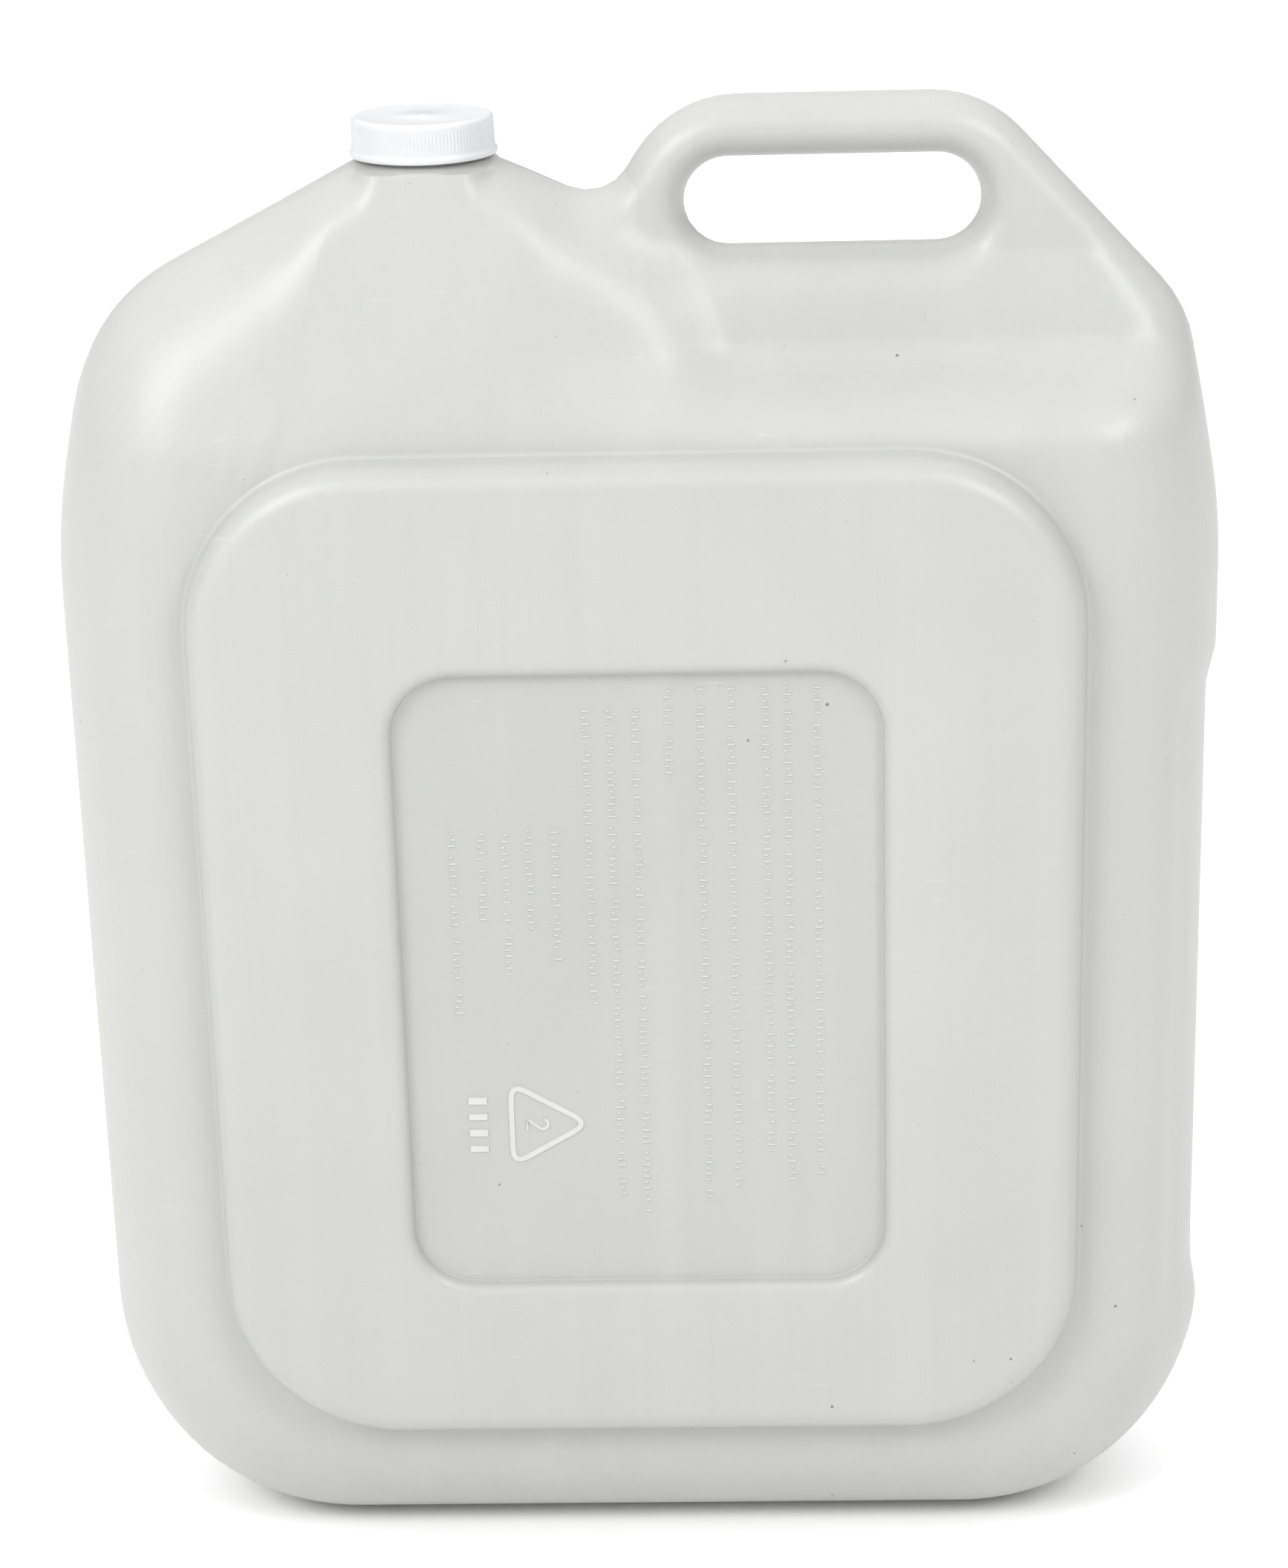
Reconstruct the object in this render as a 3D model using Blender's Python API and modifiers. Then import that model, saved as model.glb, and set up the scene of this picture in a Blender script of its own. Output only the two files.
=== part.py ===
"""Oil drain container: a blow-moulded, double-walled jug that lies flat as a drain pan and stands up to carry.

The jug stands on its short bottom edge. -Y is its underside, with the raised foot that it lies on while oil
drains. +Y is its upper side, with the catch basin and the drain hole. The parting line lies in the plane Y = 0.
The pouring neck and the hollow handle are at the top. Units are metres.
"""

import math

import bmesh
import bpy
import numpy as np
from mathutils import Matrix, Vector

# Container: overall sizes
BODY_WIDTH = 0.445
BODY_HEIGHT = 0.581  # to the top of the handle
BODY_HALF = 0.060  # half thickness of the main body
WALL = 0.002
HALF_WIDTH = BODY_WIDTH / 2

# Container: outline in the parting plane
BOTTOM_CORNER_R = 0.098
KNEE_DROP = 0.159  # from the top of the handle down to where the sides start to lean in
KNEE_R = 0.250
RIGHT_SHOULDER = (0.0129, 0.0823)  # in from the right side, down from the top
RIGHT_SHOULDER_R = 0.052
LEFT_SHOULDER = (0.0165, 0.0748)  # in from the left side, down from the top
LEFT_SHOULDER_R = 0.074
HANDLE_RIGHT_IN = 0.090  # from the right side to the handle's outer corners
HANDLE_LEFT_IN = 0.206
HANDLE_CORNER_R = 0.045
SADDLE_IN = 0.2315  # from the right side to the dip between the handle and the neck
SADDLE_DROP = 0.0395
SADDLE_R = 0.018

# Container: handle and its finger hole
GRIP_HEIGHT = 0.0227
GRIP_HALF = 0.015  # half thickness of the grip
HOLE_HEIGHT = 0.0334
HOLE_RIGHT_IN = 0.0909  # from the right side to the hole's end
HOLE_LENGTH = 0.111
WEB_HEIGHT = 0.012  # flat strip of body left under the hole
WEB_TILT = 0.22  # of the body's extra thickness, gained from the hole down to the crease

# Container: how its thickness changes towards the top
VALLEY_DROP = 0.089  # from the top of the handle down to the crease where the shoulder starts
SHOULDER_HEIGHT = 0.034
SHOULDER_FILLET = 0.30  # softness of the crease
EDGE_ROUND_SHARE = 0.85  # edge rounding in the parting plane, over the half thickness
NECK_ROUND_SHARE = 0.47
SIDE_FLAT = 0.006  # half width of the flat strip on the sides
SIDE_FLAT_FADE = 0.040
BASE_FLAT = 0.014  # the same on the bottom
BASE_FLAT_HEIGHT = 0.070
FLANK_SLOPE = math.radians(38)  # of the line below the saddle where the pouring end drops to the handle
FLANK_DROP = 0.004
FLANK_IN = 0.196  # from the right side to the line where the pouring end ends under the handle
FLANK_WIDTH = 0.030
FLANK_BLEND = 0.022
TAPER_SHARE = 0.5  # of the pouring end's extra thickness, lost on the way from the neck to the flank
TAPER_LEFT_IN = 0.165  # from the left side to where the taper starts
TAPER_LENGTH = 0.090
RAMP_BLEND = 0.015
NECK_BLEND = (0.034, 0.070)

# Container: neck
NECK_IN = 0.1465  # from the left side to the neck's axis
NECK_DROP = 0.0225  # from the top of the handle down to the neck's ledge
NECK_R = 0.0238
LEDGE_R = NECK_R + 0.0042
LEDGE_RISE = 0.0020
NECK_HEIGHT = 0.0143
THREAD_PITCH = 0.00423
THREAD_TURNS = 1.25
THREAD_START = math.radians(3.7)
THREAD_ROOT_WIDTH = 0.0022
THREAD_CREST_WIDTH = 0.0010
THREAD_HEIGHT = 0.0011
THREAD_SINK = 0.0006
THREAD_PLAY = 0.00045  # radial, between a crest and the wall that it faces

# Container: foot on the underside, and the shallow panel in it
FOOT_IN = 0.0545  # from the sides to the foot
FOOT_BOTTOM = 0.0590
FOOT_TOP_DROP = 0.1212
FOOT_R = 0.067
FOOT_RISE = 0.015
FOOT_DRAFT = 0.0010
FOOT_EDGE_R = 0.011
PANEL_IN = 0.075  # from the foot's outline to the panel's
PANEL_BOTTOM_IN = 0.067
PANEL_TOP_IN = 0.080
PANEL_R = 0.025
PANEL_DEPTH = 0.006
PANEL_EDGE = 0.008

# Container: catch basin and drain seat
BASIN_IN = 0.046
BASIN_BOTTOM = 0.046
BASIN_TOP_DROP = 0.122
BASIN_R = 0.072
RIM_RISE = 0.015
RIM_WIDTH = 0.020
BASIN_DEPTH = 0.053  # from the rim's crest to the floor
BASIN_EDGE = 0.034
BASIN_FALL = 0.006  # of the floor, towards the drain
DRAIN_TOP_IN = 0.110  # from the basin's top edge to the drain's axis
DRAIN_R = 0.0255
SEAT_R = DRAIN_R + 0.0105
SEAT_DEPTH = 0.003
SEAT_EDGE = 0.001
COLLAR_LENGTH = 0.016

# Container: shallow strip in the right side wall
STRIP_DEPTH = 0.0034
STRIP_BOTTOM = (0.086, 0.112)
STRIP_TOP = (0.353, 0.371)
STRIP_EDGE = (0.040, 0.052)

# Screw cap and its liner
CAP_BORE_R = NECK_R + THREAD_HEIGHT + THREAD_PLAY
CAP_R = CAP_BORE_R + 0.00145
CAP_BEAD_R = CAP_R + 0.0009
CAP_BEAD_HEIGHT = 0.0022
CAP_EDGE_R = 0.0016
CAP_ROOF = 0.0016
CAP_LIFT = 0.0030  # from the ledge to the cap's rim
LINER_THICKNESS = 0.0010
SEAT_GAP = 0.0003  # between pieces that touch

# Drain plug and its O-ring
PLUG_FLANGE_R = DRAIN_R + 0.0080
PLUG_FLANGE = 0.0050
PLUG_BARREL_LENGTH = 0.0125
PLUG_BARREL_WALL = 0.0022
PLUG_FLOOR = 0.0024
PLUG_GRIP = (0.050, 0.0070, 0.0100)  # length, width, height over the flange
PLUG_EDGE_R = 0.0010
RING_SECTION_R = 0.0014
RING_R = DRAIN_R + 0.0038
RING_GROOVE = 0.0016

# Fineness of the mesh
FOOT_EVENNESS = 0.35
PANEL_EVENNESS = 0.7
SPACING = 0.025
HANDLE_SPACING = 0.019
EDGE_ROWS = 6
HANDLE_ROWS = 6
NECK_SIDES = 24
ROUND_SIDES = 48
THREAD_STEPS = 36  # a turn

# Places that follow from the sizes above
FOOT_TOP = BODY_HEIGHT - FOOT_TOP_DROP
BASIN_TOP = BODY_HEIGHT - BASIN_TOP_DROP
NECK_X = -HALF_WIDTH + NECK_IN
LEDGE_Z = BODY_HEIGHT - NECK_DROP
LIP_Z = LEDGE_Z + NECK_HEIGHT
HOLE_TOP = BODY_HEIGHT - GRIP_HEIGHT
HOLE_R = HOLE_HEIGHT / 2
HOLE_Z = HOLE_TOP - HOLE_R
HOLE_X1 = HALF_WIDTH - HOLE_RIGHT_IN - HOLE_R  # the two ends of the hole's spine
HOLE_X0 = HOLE_X1 - HOLE_LENGTH + HOLE_HEIGHT
WEB_Z = HOLE_Z - HOLE_R - WEB_HEIGHT
VALLEY_Z = BODY_HEIGHT - VALLEY_DROP
SHOULDER_Z = VALLEY_Z - SHOULDER_HEIGHT
DRAIN_Z = BASIN_TOP - DRAIN_TOP_IN
RIM_Y = BODY_HALF + RIM_RISE
FLOOR_Y = RIM_Y - BASIN_DEPTH
SEAT_Y = FLOOR_Y - BASIN_FALL - SEAT_DEPTH
FOOT_Y = -BODY_HALF - FOOT_RISE
PANEL_Y = FOOT_Y + PANEL_DEPTH


def material(name, colour, roughness):
    made = bpy.data.materials.new(name)
    made.use_nodes = True
    shader = made.node_tree.nodes["Principled BSDF"]
    shader.inputs["Base Color"].default_value = (*colour, 1.0)
    shader.inputs["Roughness"].default_value = roughness
    shader.inputs["Metallic"].default_value = 0.0
    return made


def smooth(share):
    """0 below 0, 1 above 1, and an S-curve between them."""
    share = np.clip(share, 0.0, 1.0)
    return share * share * (3 - 2 * share)


# ---------------------------------------------------------------- outline


def path_points(corners, spacing):
    """Points along a path through corners (x, z, radius), with each corner rounded to its radius."""
    places = [Vector(corner[:2]) for corner in corners]
    points = []
    start = places[0]
    for before, place, after, corner in zip(places, places[1:], places[2:], corners[1:]):
        into = (place - before).normalized()
        out = (after - place).normalized()
        turn = math.atan2(into.x * out.y - into.y * out.x, into.dot(out))
        reach = corner[2] * math.tan(abs(turn) / 2)
        first = place - into * reach
        points += line_points(start, first, spacing)
        left = Vector((-into.y, into.x)) * math.copysign(corner[2], turn)
        centre = first + left
        steps = max(1, round(corner[2] * abs(turn) / spacing))
        for step in range(steps):
            points.append(centre + Matrix.Rotation(turn * step / steps, 2) @ -left)
        start = place + out * reach
    return points + line_points(start, places[-1], spacing) + [places[-1]]


def line_points(start, end, spacing):
    """Points from start up to end, without end."""
    length = (end - start).length
    if length < 1e-6:
        return []
    steps = max(1, round(length / spacing))
    return [start.lerp(end, step / steps) for step in range(steps)]


def outline_corners():
    """The parting line's corners by name, each (x, z, radius)."""
    top = BODY_HEIGHT
    return {
        "neck_left": (NECK_X - LEDGE_R, LEDGE_Z, 0),
        "left_shoulder": (-HALF_WIDTH + LEFT_SHOULDER[0], top - LEFT_SHOULDER[1], LEFT_SHOULDER_R),
        "left_knee": (-HALF_WIDTH, top - KNEE_DROP, KNEE_R),
        "bottom_left": (-HALF_WIDTH, 0, BOTTOM_CORNER_R),
        "bottom_right": (HALF_WIDTH, 0, BOTTOM_CORNER_R),
        "right_knee": (HALF_WIDTH, top - KNEE_DROP, KNEE_R),
        "right_shoulder": (HALF_WIDTH - RIGHT_SHOULDER[0], top - RIGHT_SHOULDER[1], RIGHT_SHOULDER_R),
        "handle_right": (HALF_WIDTH - HANDLE_RIGHT_IN, top, HANDLE_CORNER_R),
        "handle_left": (HALF_WIDTH - HANDLE_LEFT_IN, top, HANDLE_CORNER_R),
        "saddle": (HALF_WIDTH - SADDLE_IN, top - SADDLE_DROP, SADDLE_R),
        "neck_right": (NECK_X + LEDGE_R, LEDGE_Z, 0),
    }


def saddle_end(along_roof=True):
    """Where the saddle's round ends: on the pouring end's roof, or on the handle's leg."""
    corner = {name: Vector(place[:2]) for name, place in outline_corners().items()}
    roof = (corner["neck_right"] - corner["saddle"]).normalized()
    leg = (corner["handle_left"] - corner["saddle"]).normalized()
    reach = SADDLE_R * math.tan((math.pi - roof.angle(leg)) / 2)
    return corner["saddle"] + (roof if along_roof else leg) * reach


def web_ends():
    """Where the line between body and handle meets the outline: on the handle's leg, and on its slope."""
    corner = {name: Vector(place[:2]) for name, place in outline_corners().items()}
    slope = corner["right_shoulder"] - corner["handle_right"]
    share = (WEB_Z - corner["handle_right"].y) / slope.y
    return saddle_end(along_roof=False), corner["handle_right"] + slope * share


def boundary_paths(spacing, handle_spacing):
    """The stretches of outline around the body and around the handle, and the web line that parts them."""
    corners = outline_corners()
    left, right = web_ends()
    body_names = ("right_shoulder", "right_knee", "bottom_right", "bottom_left", "left_knee", "left_shoulder")
    body = path_points(
        [(*right, 0), *(corners[name] for name in body_names), corners["neck_left"]], spacing
    )
    roof = path_points([corners["neck_right"], corners["saddle"], (*left, 0)], handle_spacing)
    handle_names = ("handle_left", "handle_right")
    handle = path_points([(*left, 0), *(corners[name] for name in handle_names), (*right, 0)], handle_spacing)
    turn_in = Vector((HOLE_X0 - HOLE_R / 2, WEB_Z))
    web = [left + (turn_in - left) * (1 - math.cos(share)) for share in quarter_steps(left, turn_in, handle_spacing)]
    web += [turn_in + (right - turn_in) * math.sin(share) for share in quarter_steps(turn_in, right, handle_spacing)]
    return body, roof, handle, [*web, right]


def quarter_steps(start, end, spacing):
    """Even steps from 0 up to a quarter turn, without the quarter turn, one for each spacing from start to end."""
    steps = max(2, round(1.25 * (end - start).length / spacing))
    return [math.pi / 2 * step / steps for step in range(steps)]


# ---------------------------------------------------------------- thickness


def distance_to_path(x, z, path):
    """Distance of each point (x, z) to a path of straight steps."""
    path = np.array([tuple(point) for point in path])
    start, step = path[:-1], np.diff(path, axis=0)
    offset = np.stack([x, z], axis=-1)[..., None, :] - start
    along = np.clip((offset * step).sum(-1) / (step * step).sum(-1), 0, 1)
    return np.linalg.norm(offset - along[..., None] * step, axis=-1).min(axis=-1)


class Form:
    """The container's half thickness over the parting plane."""

    def __init__(self):
        body, roof, handle, _ = boundary_paths(0.004, 0.003)
        self.outline = roof + handle[1:] + body[1:]
        self.saddle = saddle_end()

    def ramp(self, z):
        """Half thickness of the pouring end, which thins steadily from the body to the neck."""
        rise = z - SHOULDER_Z
        soft = np.where(
            rise > RAMP_BLEND, rise, np.clip(rise + RAMP_BLEND, 0, None) ** 2 / (4 * RAMP_BLEND)
        )
        return BODY_HALF - (BODY_HALF - LEDGE_R) * soft / (LEDGE_Z - SHOULDER_Z)

    def near_neck(self, x, z):
        away = np.hypot(x - NECK_X, z - LEDGE_Z)
        return 1 - smooth((away - NECK_BLEND[0]) / (NECK_BLEND[1] - NECK_BLEND[0]))

    def thickness(self, x, z):
        """Full half thickness, before the edges are rounded."""
        drop = np.clip((VALLEY_Z - z) / SHOULDER_HEIGHT, 0, 1)
        drop = drop * drop / (drop + SHOULDER_FILLET) * (1 + SHOULDER_FILLET)
        drop = np.sin(drop * math.pi / 2)
        tilt = WEB_TILT * np.clip((HOLE_Z - HOLE_R - z) / (HOLE_Z - HOLE_R - VALLEY_Z), 0, 1)
        web = GRIP_HALF + (BODY_HALF - GRIP_HALF) * (drop + (1 - drop) * tilt)
        below = self.saddle.y - FLANK_DROP - z
        slope = -(x - self.saddle.x) * math.sin(FLANK_SLOPE) + below * math.cos(FLANK_SLOPE)
        upright = HALF_WIDTH - FLANK_IN - x
        apart = np.clip(FLANK_BLEND - abs(slope - upright), 0, None)
        inside = np.minimum(slope, upright) - apart * apart / (4 * FLANK_BLEND)
        taper = smooth((x + HALF_WIDTH - TAPER_LEFT_IN) / TAPER_LENGTH)
        share = smooth(0.5 + inside / FLANK_WIDTH) * (1 - TAPER_SHARE * taper)
        share = share + (1 - share) * self.near_neck(x, z)
        return web + np.maximum(self.ramp(z) - web, 0) * share

    def side_flat(self, x, z):
        """Half width of the flat strip along the parting line."""
        base = (BASE_FLAT - SIDE_FLAT) * smooth((BASE_FLAT_HEIGHT - z) / BASE_FLAT_HEIGHT)
        return (SIDE_FLAT + base) * smooth((VALLEY_Z - z) / SIDE_FLAT_FADE)

    def depth(self, x, z):
        """Distance of the outer face from the parting plane."""
        thickness = self.thickness(x, z)
        flat = self.side_flat(x, z)
        near = self.near_neck(x, z)
        radius = thickness * (EDGE_ROUND_SHARE + (NECK_ROUND_SHARE - EDGE_ROUND_SHARE) * near)
        spine = np.clip(x, HOLE_X0, HOLE_X1)
        to_hole = np.hypot(x - spine, z - HOLE_Z) - HOLE_R
        inward = np.minimum(distance_to_path(x, z, self.outline), to_hole)
        share = np.clip(inward / radius, 0, 1)
        return flat + (thickness - flat) * np.sqrt(1 - (1 - share) ** 2)


def strip_shift(place):
    """How far the right side wall stands back at a place, for its shallow strip."""
    if place.x < HALF_WIDTH / 2:
        return 0.0
    along = smooth((place.z - STRIP_BOTTOM[0]) / (STRIP_BOTTOM[1] - STRIP_BOTTOM[0])) * smooth(
        (STRIP_TOP[1] - place.z) / (STRIP_TOP[1] - STRIP_TOP[0])
    )
    across = smooth((STRIP_EDGE[1] - abs(place.y)) / (STRIP_EDGE[1] - STRIP_EDGE[0]))
    return STRIP_DEPTH * float(along * across)


# ---------------------------------------------------------------- container shell


def spread(lengths, total, evenness):
    """Moves places along a closed loop towards even spacing, keeping their order. 0 leaves them, 1 is even."""
    steps = np.mod(np.diff(lengths, append=lengths[:1]), total)
    run = np.concatenate([[0.0], np.cumsum(steps)[:-1]])
    even = total * np.arange(len(lengths)) / len(lengths)
    even = even + (run - even).mean()
    return lengths[0] + run + (even - run) * evenness


class Disc:
    """A circle in the parting plane, walked clockwise as seen from -Y."""

    def __init__(self, x, z):
        self.centre = Vector((x, z))

    def ring(self, points, radius, evenness):
        facing = np.array([-math.atan2(p.y - self.centre.y, p.x - self.centre.x) for p in points])
        turned_to = spread(facing, 2 * math.pi, evenness)
        return [self.centre + Vector((math.cos(a), -math.sin(a))) * radius for a in turned_to]


class RoundedBox:
    """A rounded rectangle in the parting plane. Offsets of it share their corner centres."""

    def __init__(self, half_width, bottom, top, radius):
        self.low = Vector((-half_width + radius, bottom + radius))
        self.high = Vector((half_width - radius, top - radius))
        self.radius = radius

    def point(self, seen_from, offset):
        """The point that faces seen_from, on the outline grown by offset."""
        core = Vector(
            (
                min(max(seen_from.x, self.low.x), self.high.x),
                min(max(seen_from.y, self.low.y), self.high.y),
            )
        )
        return core + (seen_from - core).normalized() * (self.radius + offset)

    def loop(self, offset, steps=40):
        """The outline grown by offset as a closed chain of points, clockwise as seen from -Y."""
        radius = self.radius + offset
        chain = []
        corners = ((self.high.x, self.high.y), (self.high.x, self.low.y), (self.low.x, self.low.y),
                   (self.low.x, self.high.y))
        for number, corner in enumerate(corners):
            for step in range(steps + 1):
                angle = math.pi / 2 * (1 - number - step / steps)
                chain.append((corner[0] + radius * math.cos(angle), corner[1] + radius * math.sin(angle)))
        return np.array(chain + chain[:1])

    def ring(self, points, offset, evenness):
        """Points that face the given ones on the outline grown by offset, spread towards even spacing."""
        chain = self.loop(offset)
        step = np.diff(chain, axis=0)
        run = np.concatenate([[0.0], np.cumsum(np.hypot(step[:, 0], step[:, 1]))])
        lengths = []
        for seen_from in points:
            facing = self.point(seen_from, offset)
            share = ((np.array(facing) - chain[:-1]) * step).sum(1) / (step * step).sum(1)
            share = np.clip(share, 0, 1)[:, None]
            nearest = np.linalg.norm(chain[:-1] + step * share - np.array(facing), axis=1).argmin()
            lengths.append(run[nearest] + (run[nearest + 1] - run[nearest]) * share[nearest, 0])
        places = np.mod(spread(np.array(lengths), run[-1], evenness), run[-1])
        return [Vector((np.interp(a, run, chain[:, 0]), np.interp(a, run, chain[:, 1]))) for a in places]


def foot_outline():
    return RoundedBox(HALF_WIDTH - FOOT_IN, FOOT_BOTTOM, FOOT_TOP, FOOT_R)


def panel_outline():
    return RoundedBox(
        HALF_WIDTH - FOOT_IN - PANEL_IN, FOOT_BOTTOM + PANEL_BOTTOM_IN, FOOT_TOP - PANEL_TOP_IN, PANEL_R
    )


def basin_outline():
    return RoundedBox(HALF_WIDTH - BASIN_IN, BASIN_BOTTOM, BASIN_TOP, BASIN_R)


def ring_of(bm, places):
    """A closed ring of vertices and edges."""
    ring = [bm.verts.new(place) for place in places]
    for a, b in zip(ring, ring[1:] + ring[:1]):
        bm.edges.new((a, b))
    return ring


def pull_ring(bm, ring, places):
    """Extrudes a ring by one row of faces, and puts the new ring at places."""
    edges = [bm.edges.get((a, b)) for a, b in zip(ring, ring[1:] + ring[:1])]
    made = bmesh.ops.extrude_edge_only(bm, edges=edges)["geom"]
    fresh = {item for item in made if isinstance(item, bmesh.types.BMVert)}
    pulled = [
        next(edge.other_vert(vert) for edge in vert.link_edges if edge.other_vert(vert) in fresh)
        for vert in ring
    ]
    for vert, place in zip(pulled, places):
        vert.co = place
    return pulled


def placed(points, depths, side):
    """3-D places of points of the parting plane, at these distances from it, on one side (-1 or 1)."""
    return [Vector((point.x, side * float(depth), point.y)) for point, depth in zip(points, depths)]


def form_depths(form, points):
    x = np.array([point.x for point in points])
    z = np.array([point.y for point in points])
    return form.depth(x, z)


def body_edge(form, side):
    """The body's outer points: (points, depth of the first ring, depth of the second ring)."""
    body, roof, _, web = boundary_paths(SPACING, HANDLE_SPACING)
    half = NECK_SIDES // 2
    angles = [math.pi * (1 - step / half) for step in range(1, half)]
    neck = [Vector((NECK_X + LEDGE_R * math.cos(angle), LEDGE_Z)) for angle in angles]
    neck_depths = [LEDGE_R * math.sin(angle) for angle in angles]
    inner_web = web[1:-1]
    web_depths = list(form_depths(form, inner_web))
    points = body + neck + roof + inner_web
    first = [0.0] * len(body) + neck_depths + [0.0] * len(roof) + web_depths
    flats = [float(form.side_flat(point.x, point.y)) for point in body]
    second = flats + neck_depths + [0.0] * len(roof) + web_depths
    return points, first, second


def body_rows(bm, form, side, outline, foot_offset):
    """Rows of faces from the parting line in to a rounded outline on one side. Returns the last ring."""
    points, first, second = body_edge(form, side)
    ring = ring_of(bm, placed(points, first, side))
    ring = pull_ring(bm, ring, placed(points, second, side))
    inner = outline.ring(points, foot_offset, FOOT_EVENNESS)
    for row in range(1, EDGE_ROWS + 1):
        share = 1 - math.cos(row * math.pi / 2 / EDGE_ROWS)
        between = [a.lerp(b, share) for a, b in zip(points, inner)]
        ring = pull_ring(bm, ring, placed(between, form_depths(form, between), side))
    return points, ring


def underside(bm, form):
    """The -Y face: edge, raised foot, and the shallow panel in the foot."""
    foot = foot_outline()
    points, ring = body_rows(bm, form, -1, foot, FOOT_DRAFT)
    rows = [(0.0, BODY_HALF + FOOT_RISE - FOOT_EDGE_R)]
    for angle in (math.pi / 6, math.pi / 3, math.pi / 2):
        back = FOOT_EDGE_R * (1 - math.cos(angle))
        rows.append((-back, BODY_HALF + FOOT_RISE - FOOT_EDGE_R * (1 - math.sin(angle))))
    for offset, depth in rows:
        inset = foot.ring(points, offset, FOOT_EVENNESS)
        ring = pull_ring(bm, ring, placed(inset, [depth] * len(points), -1))
    panel = panel_outline()
    for share in (0.0, 0.3, 0.7, 1.0):
        offset = PANEL_EDGE * (0.5 - share)
        depth = -FOOT_Y - PANEL_DEPTH * float(smooth(share))
        inset = panel.ring(points, offset, PANEL_EVENNESS)
        ring = pull_ring(bm, ring, placed(inset, [depth] * len(points), -1))
    bm.faces.new(ring)


def upper_side(bm, form):
    """The +Y face: edge, raised rim, catch basin, drain seat and the collar that leads oil inside."""
    basin = basin_outline()
    points, ring = body_rows(bm, form, 1, basin, 0.0)
    rows = []
    for angle in (math.pi / 6, math.pi / 3, math.pi / 2):
        rows.append((-RIM_WIDTH / 2 * (1 - math.cos(angle)), BODY_HALF + RIM_RISE * math.sin(angle)))
    for share in (0.15, 0.3, 0.5, 0.7, 0.85, 1.0):
        rows.append((-RIM_WIDTH / 2 - BASIN_EDGE * share, RIM_Y - BASIN_DEPTH * float(smooth(share))))
    for offset, depth in rows:
        inset = basin.ring(points, offset, FOOT_EVENNESS)
        ring = pull_ring(bm, ring, placed(inset, [depth] * len(points), 1))
    drain = Disc(0.0, DRAIN_Z)
    rows = [
        (SEAT_R + SEAT_EDGE, SEAT_Y + SEAT_DEPTH),
        (SEAT_R, SEAT_Y),
        (DRAIN_R, SEAT_Y),
        (DRAIN_R, SEAT_Y - COLLAR_LENGTH),
    ]
    for radius, depth in rows:
        circle = drain.ring(inset, radius, 1.0)
        ring = pull_ring(bm, ring, placed(circle, [depth] * len(points), 1))


def handle_rows(bm, form, side):
    """The handle's face on one side, from its outline and the web line in to the finger hole."""
    _, _, handle, web = boundary_paths(SPACING, HANDLE_SPACING)
    inner_web = web[1:-1][::-1]
    outer = handle + inner_web
    first = [0.0] * len(handle) + list(form_depths(form, inner_web))
    ring = ring_of(bm, placed(outer, first, side))
    spine = [Vector((min(max(p.x, HOLE_X0), HOLE_X1), HOLE_Z)) for p in outer]
    hole = [core + (p - core).normalized() * HOLE_R for p, core in zip(outer, spine)]
    for row in range(1, HANDLE_ROWS + 1):
        share = (1 - math.cos(row * math.pi / HANDLE_ROWS)) / 2
        between = [a.lerp(b, share) for a, b in zip(outer, hole)]
        depths = [0.0] * len(outer) if row == HANDLE_ROWS else form_depths(form, between)
        ring = pull_ring(bm, ring, placed(between, depths, side))


def neck_wall(bm):
    """The ledge and the plain wall of the pouring neck, up to its lip."""
    def circle(radius, height):
        turns = [2 * math.pi * step / NECK_SIDES for step in range(NECK_SIDES)]
        return [Vector((NECK_X - radius * math.cos(a), radius * math.sin(a), height)) for a in turns]

    ring = ring_of(bm, circle(LEDGE_R, LEDGE_Z))
    ring = pull_ring(bm, ring, circle(NECK_R, LEDGE_Z + LEDGE_RISE))
    pull_ring(bm, ring, circle(NECK_R, LIP_Z))


def thread(name, radius, height, foot, collection, outwards=1):
    """A helical ridge about +Z at the origin, fading out at both ends. Its root is sunk into the wall at radius."""
    bm = bmesh.new()
    root = radius - outwards * THREAD_SINK
    crest = radius + outwards * height
    profile = [
        (root, -THREAD_ROOT_WIDTH / 2),
        (crest, -THREAD_CREST_WIDTH / 2),
        (crest, THREAD_CREST_WIDTH / 2),
        (root, THREAD_ROOT_WIDTH / 2),
    ]
    corners = [bm.verts.new((r, 0, foot + z)) for r, z in profile]
    face = bm.faces.new(corners)
    steps = round(THREAD_STEPS * THREAD_TURNS)
    bmesh.ops.spin(
        bm,
        geom=[face, *face.edges, *face.verts],
        cent=(0, 0, 0),
        axis=(0, 0, 1),
        dvec=(0, 0, THREAD_PITCH * THREAD_TURNS / steps),
        angle=2 * math.pi * THREAD_TURNS,
        steps=steps,
    )
    fade = 1.5 * 2 * math.pi / THREAD_STEPS
    for vert in bm.verts:
        flat = Vector((vert.co.x, vert.co.y))
        if abs(flat.length - crest) > 1e-5:
            continue
        height_share = (vert.co.z - foot) / (THREAD_PITCH * THREAD_TURNS)
        along = min(max(height_share, 0.0), 1.0) * 2 * math.pi * THREAD_TURNS
        near_end = min(along, 2 * math.pi * THREAD_TURNS - along)
        if near_end < fade * 0.5:
            flat = flat.normalized() * (radius - outwards * THREAD_SINK / 2)
            vert.co.x, vert.co.y = flat
    bmesh.ops.rotate(bm, cent=(0, 0, 0), matrix=Matrix.Rotation(THREAD_START, 3, "Z"), verts=bm.verts)
    bmesh.ops.recalc_face_normals(bm, faces=bm.faces)
    return mesh_object(name, bm, None, collection)


def mesh_object(name, bm, finish, collection):
    mesh = bpy.data.meshes.new(name)
    bm.to_mesh(mesh)
    bm.free()
    made = bpy.data.objects.new(name, mesh)
    collection.objects.link(made)
    if finish:
        mesh.materials.append(finish)
    return made


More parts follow.
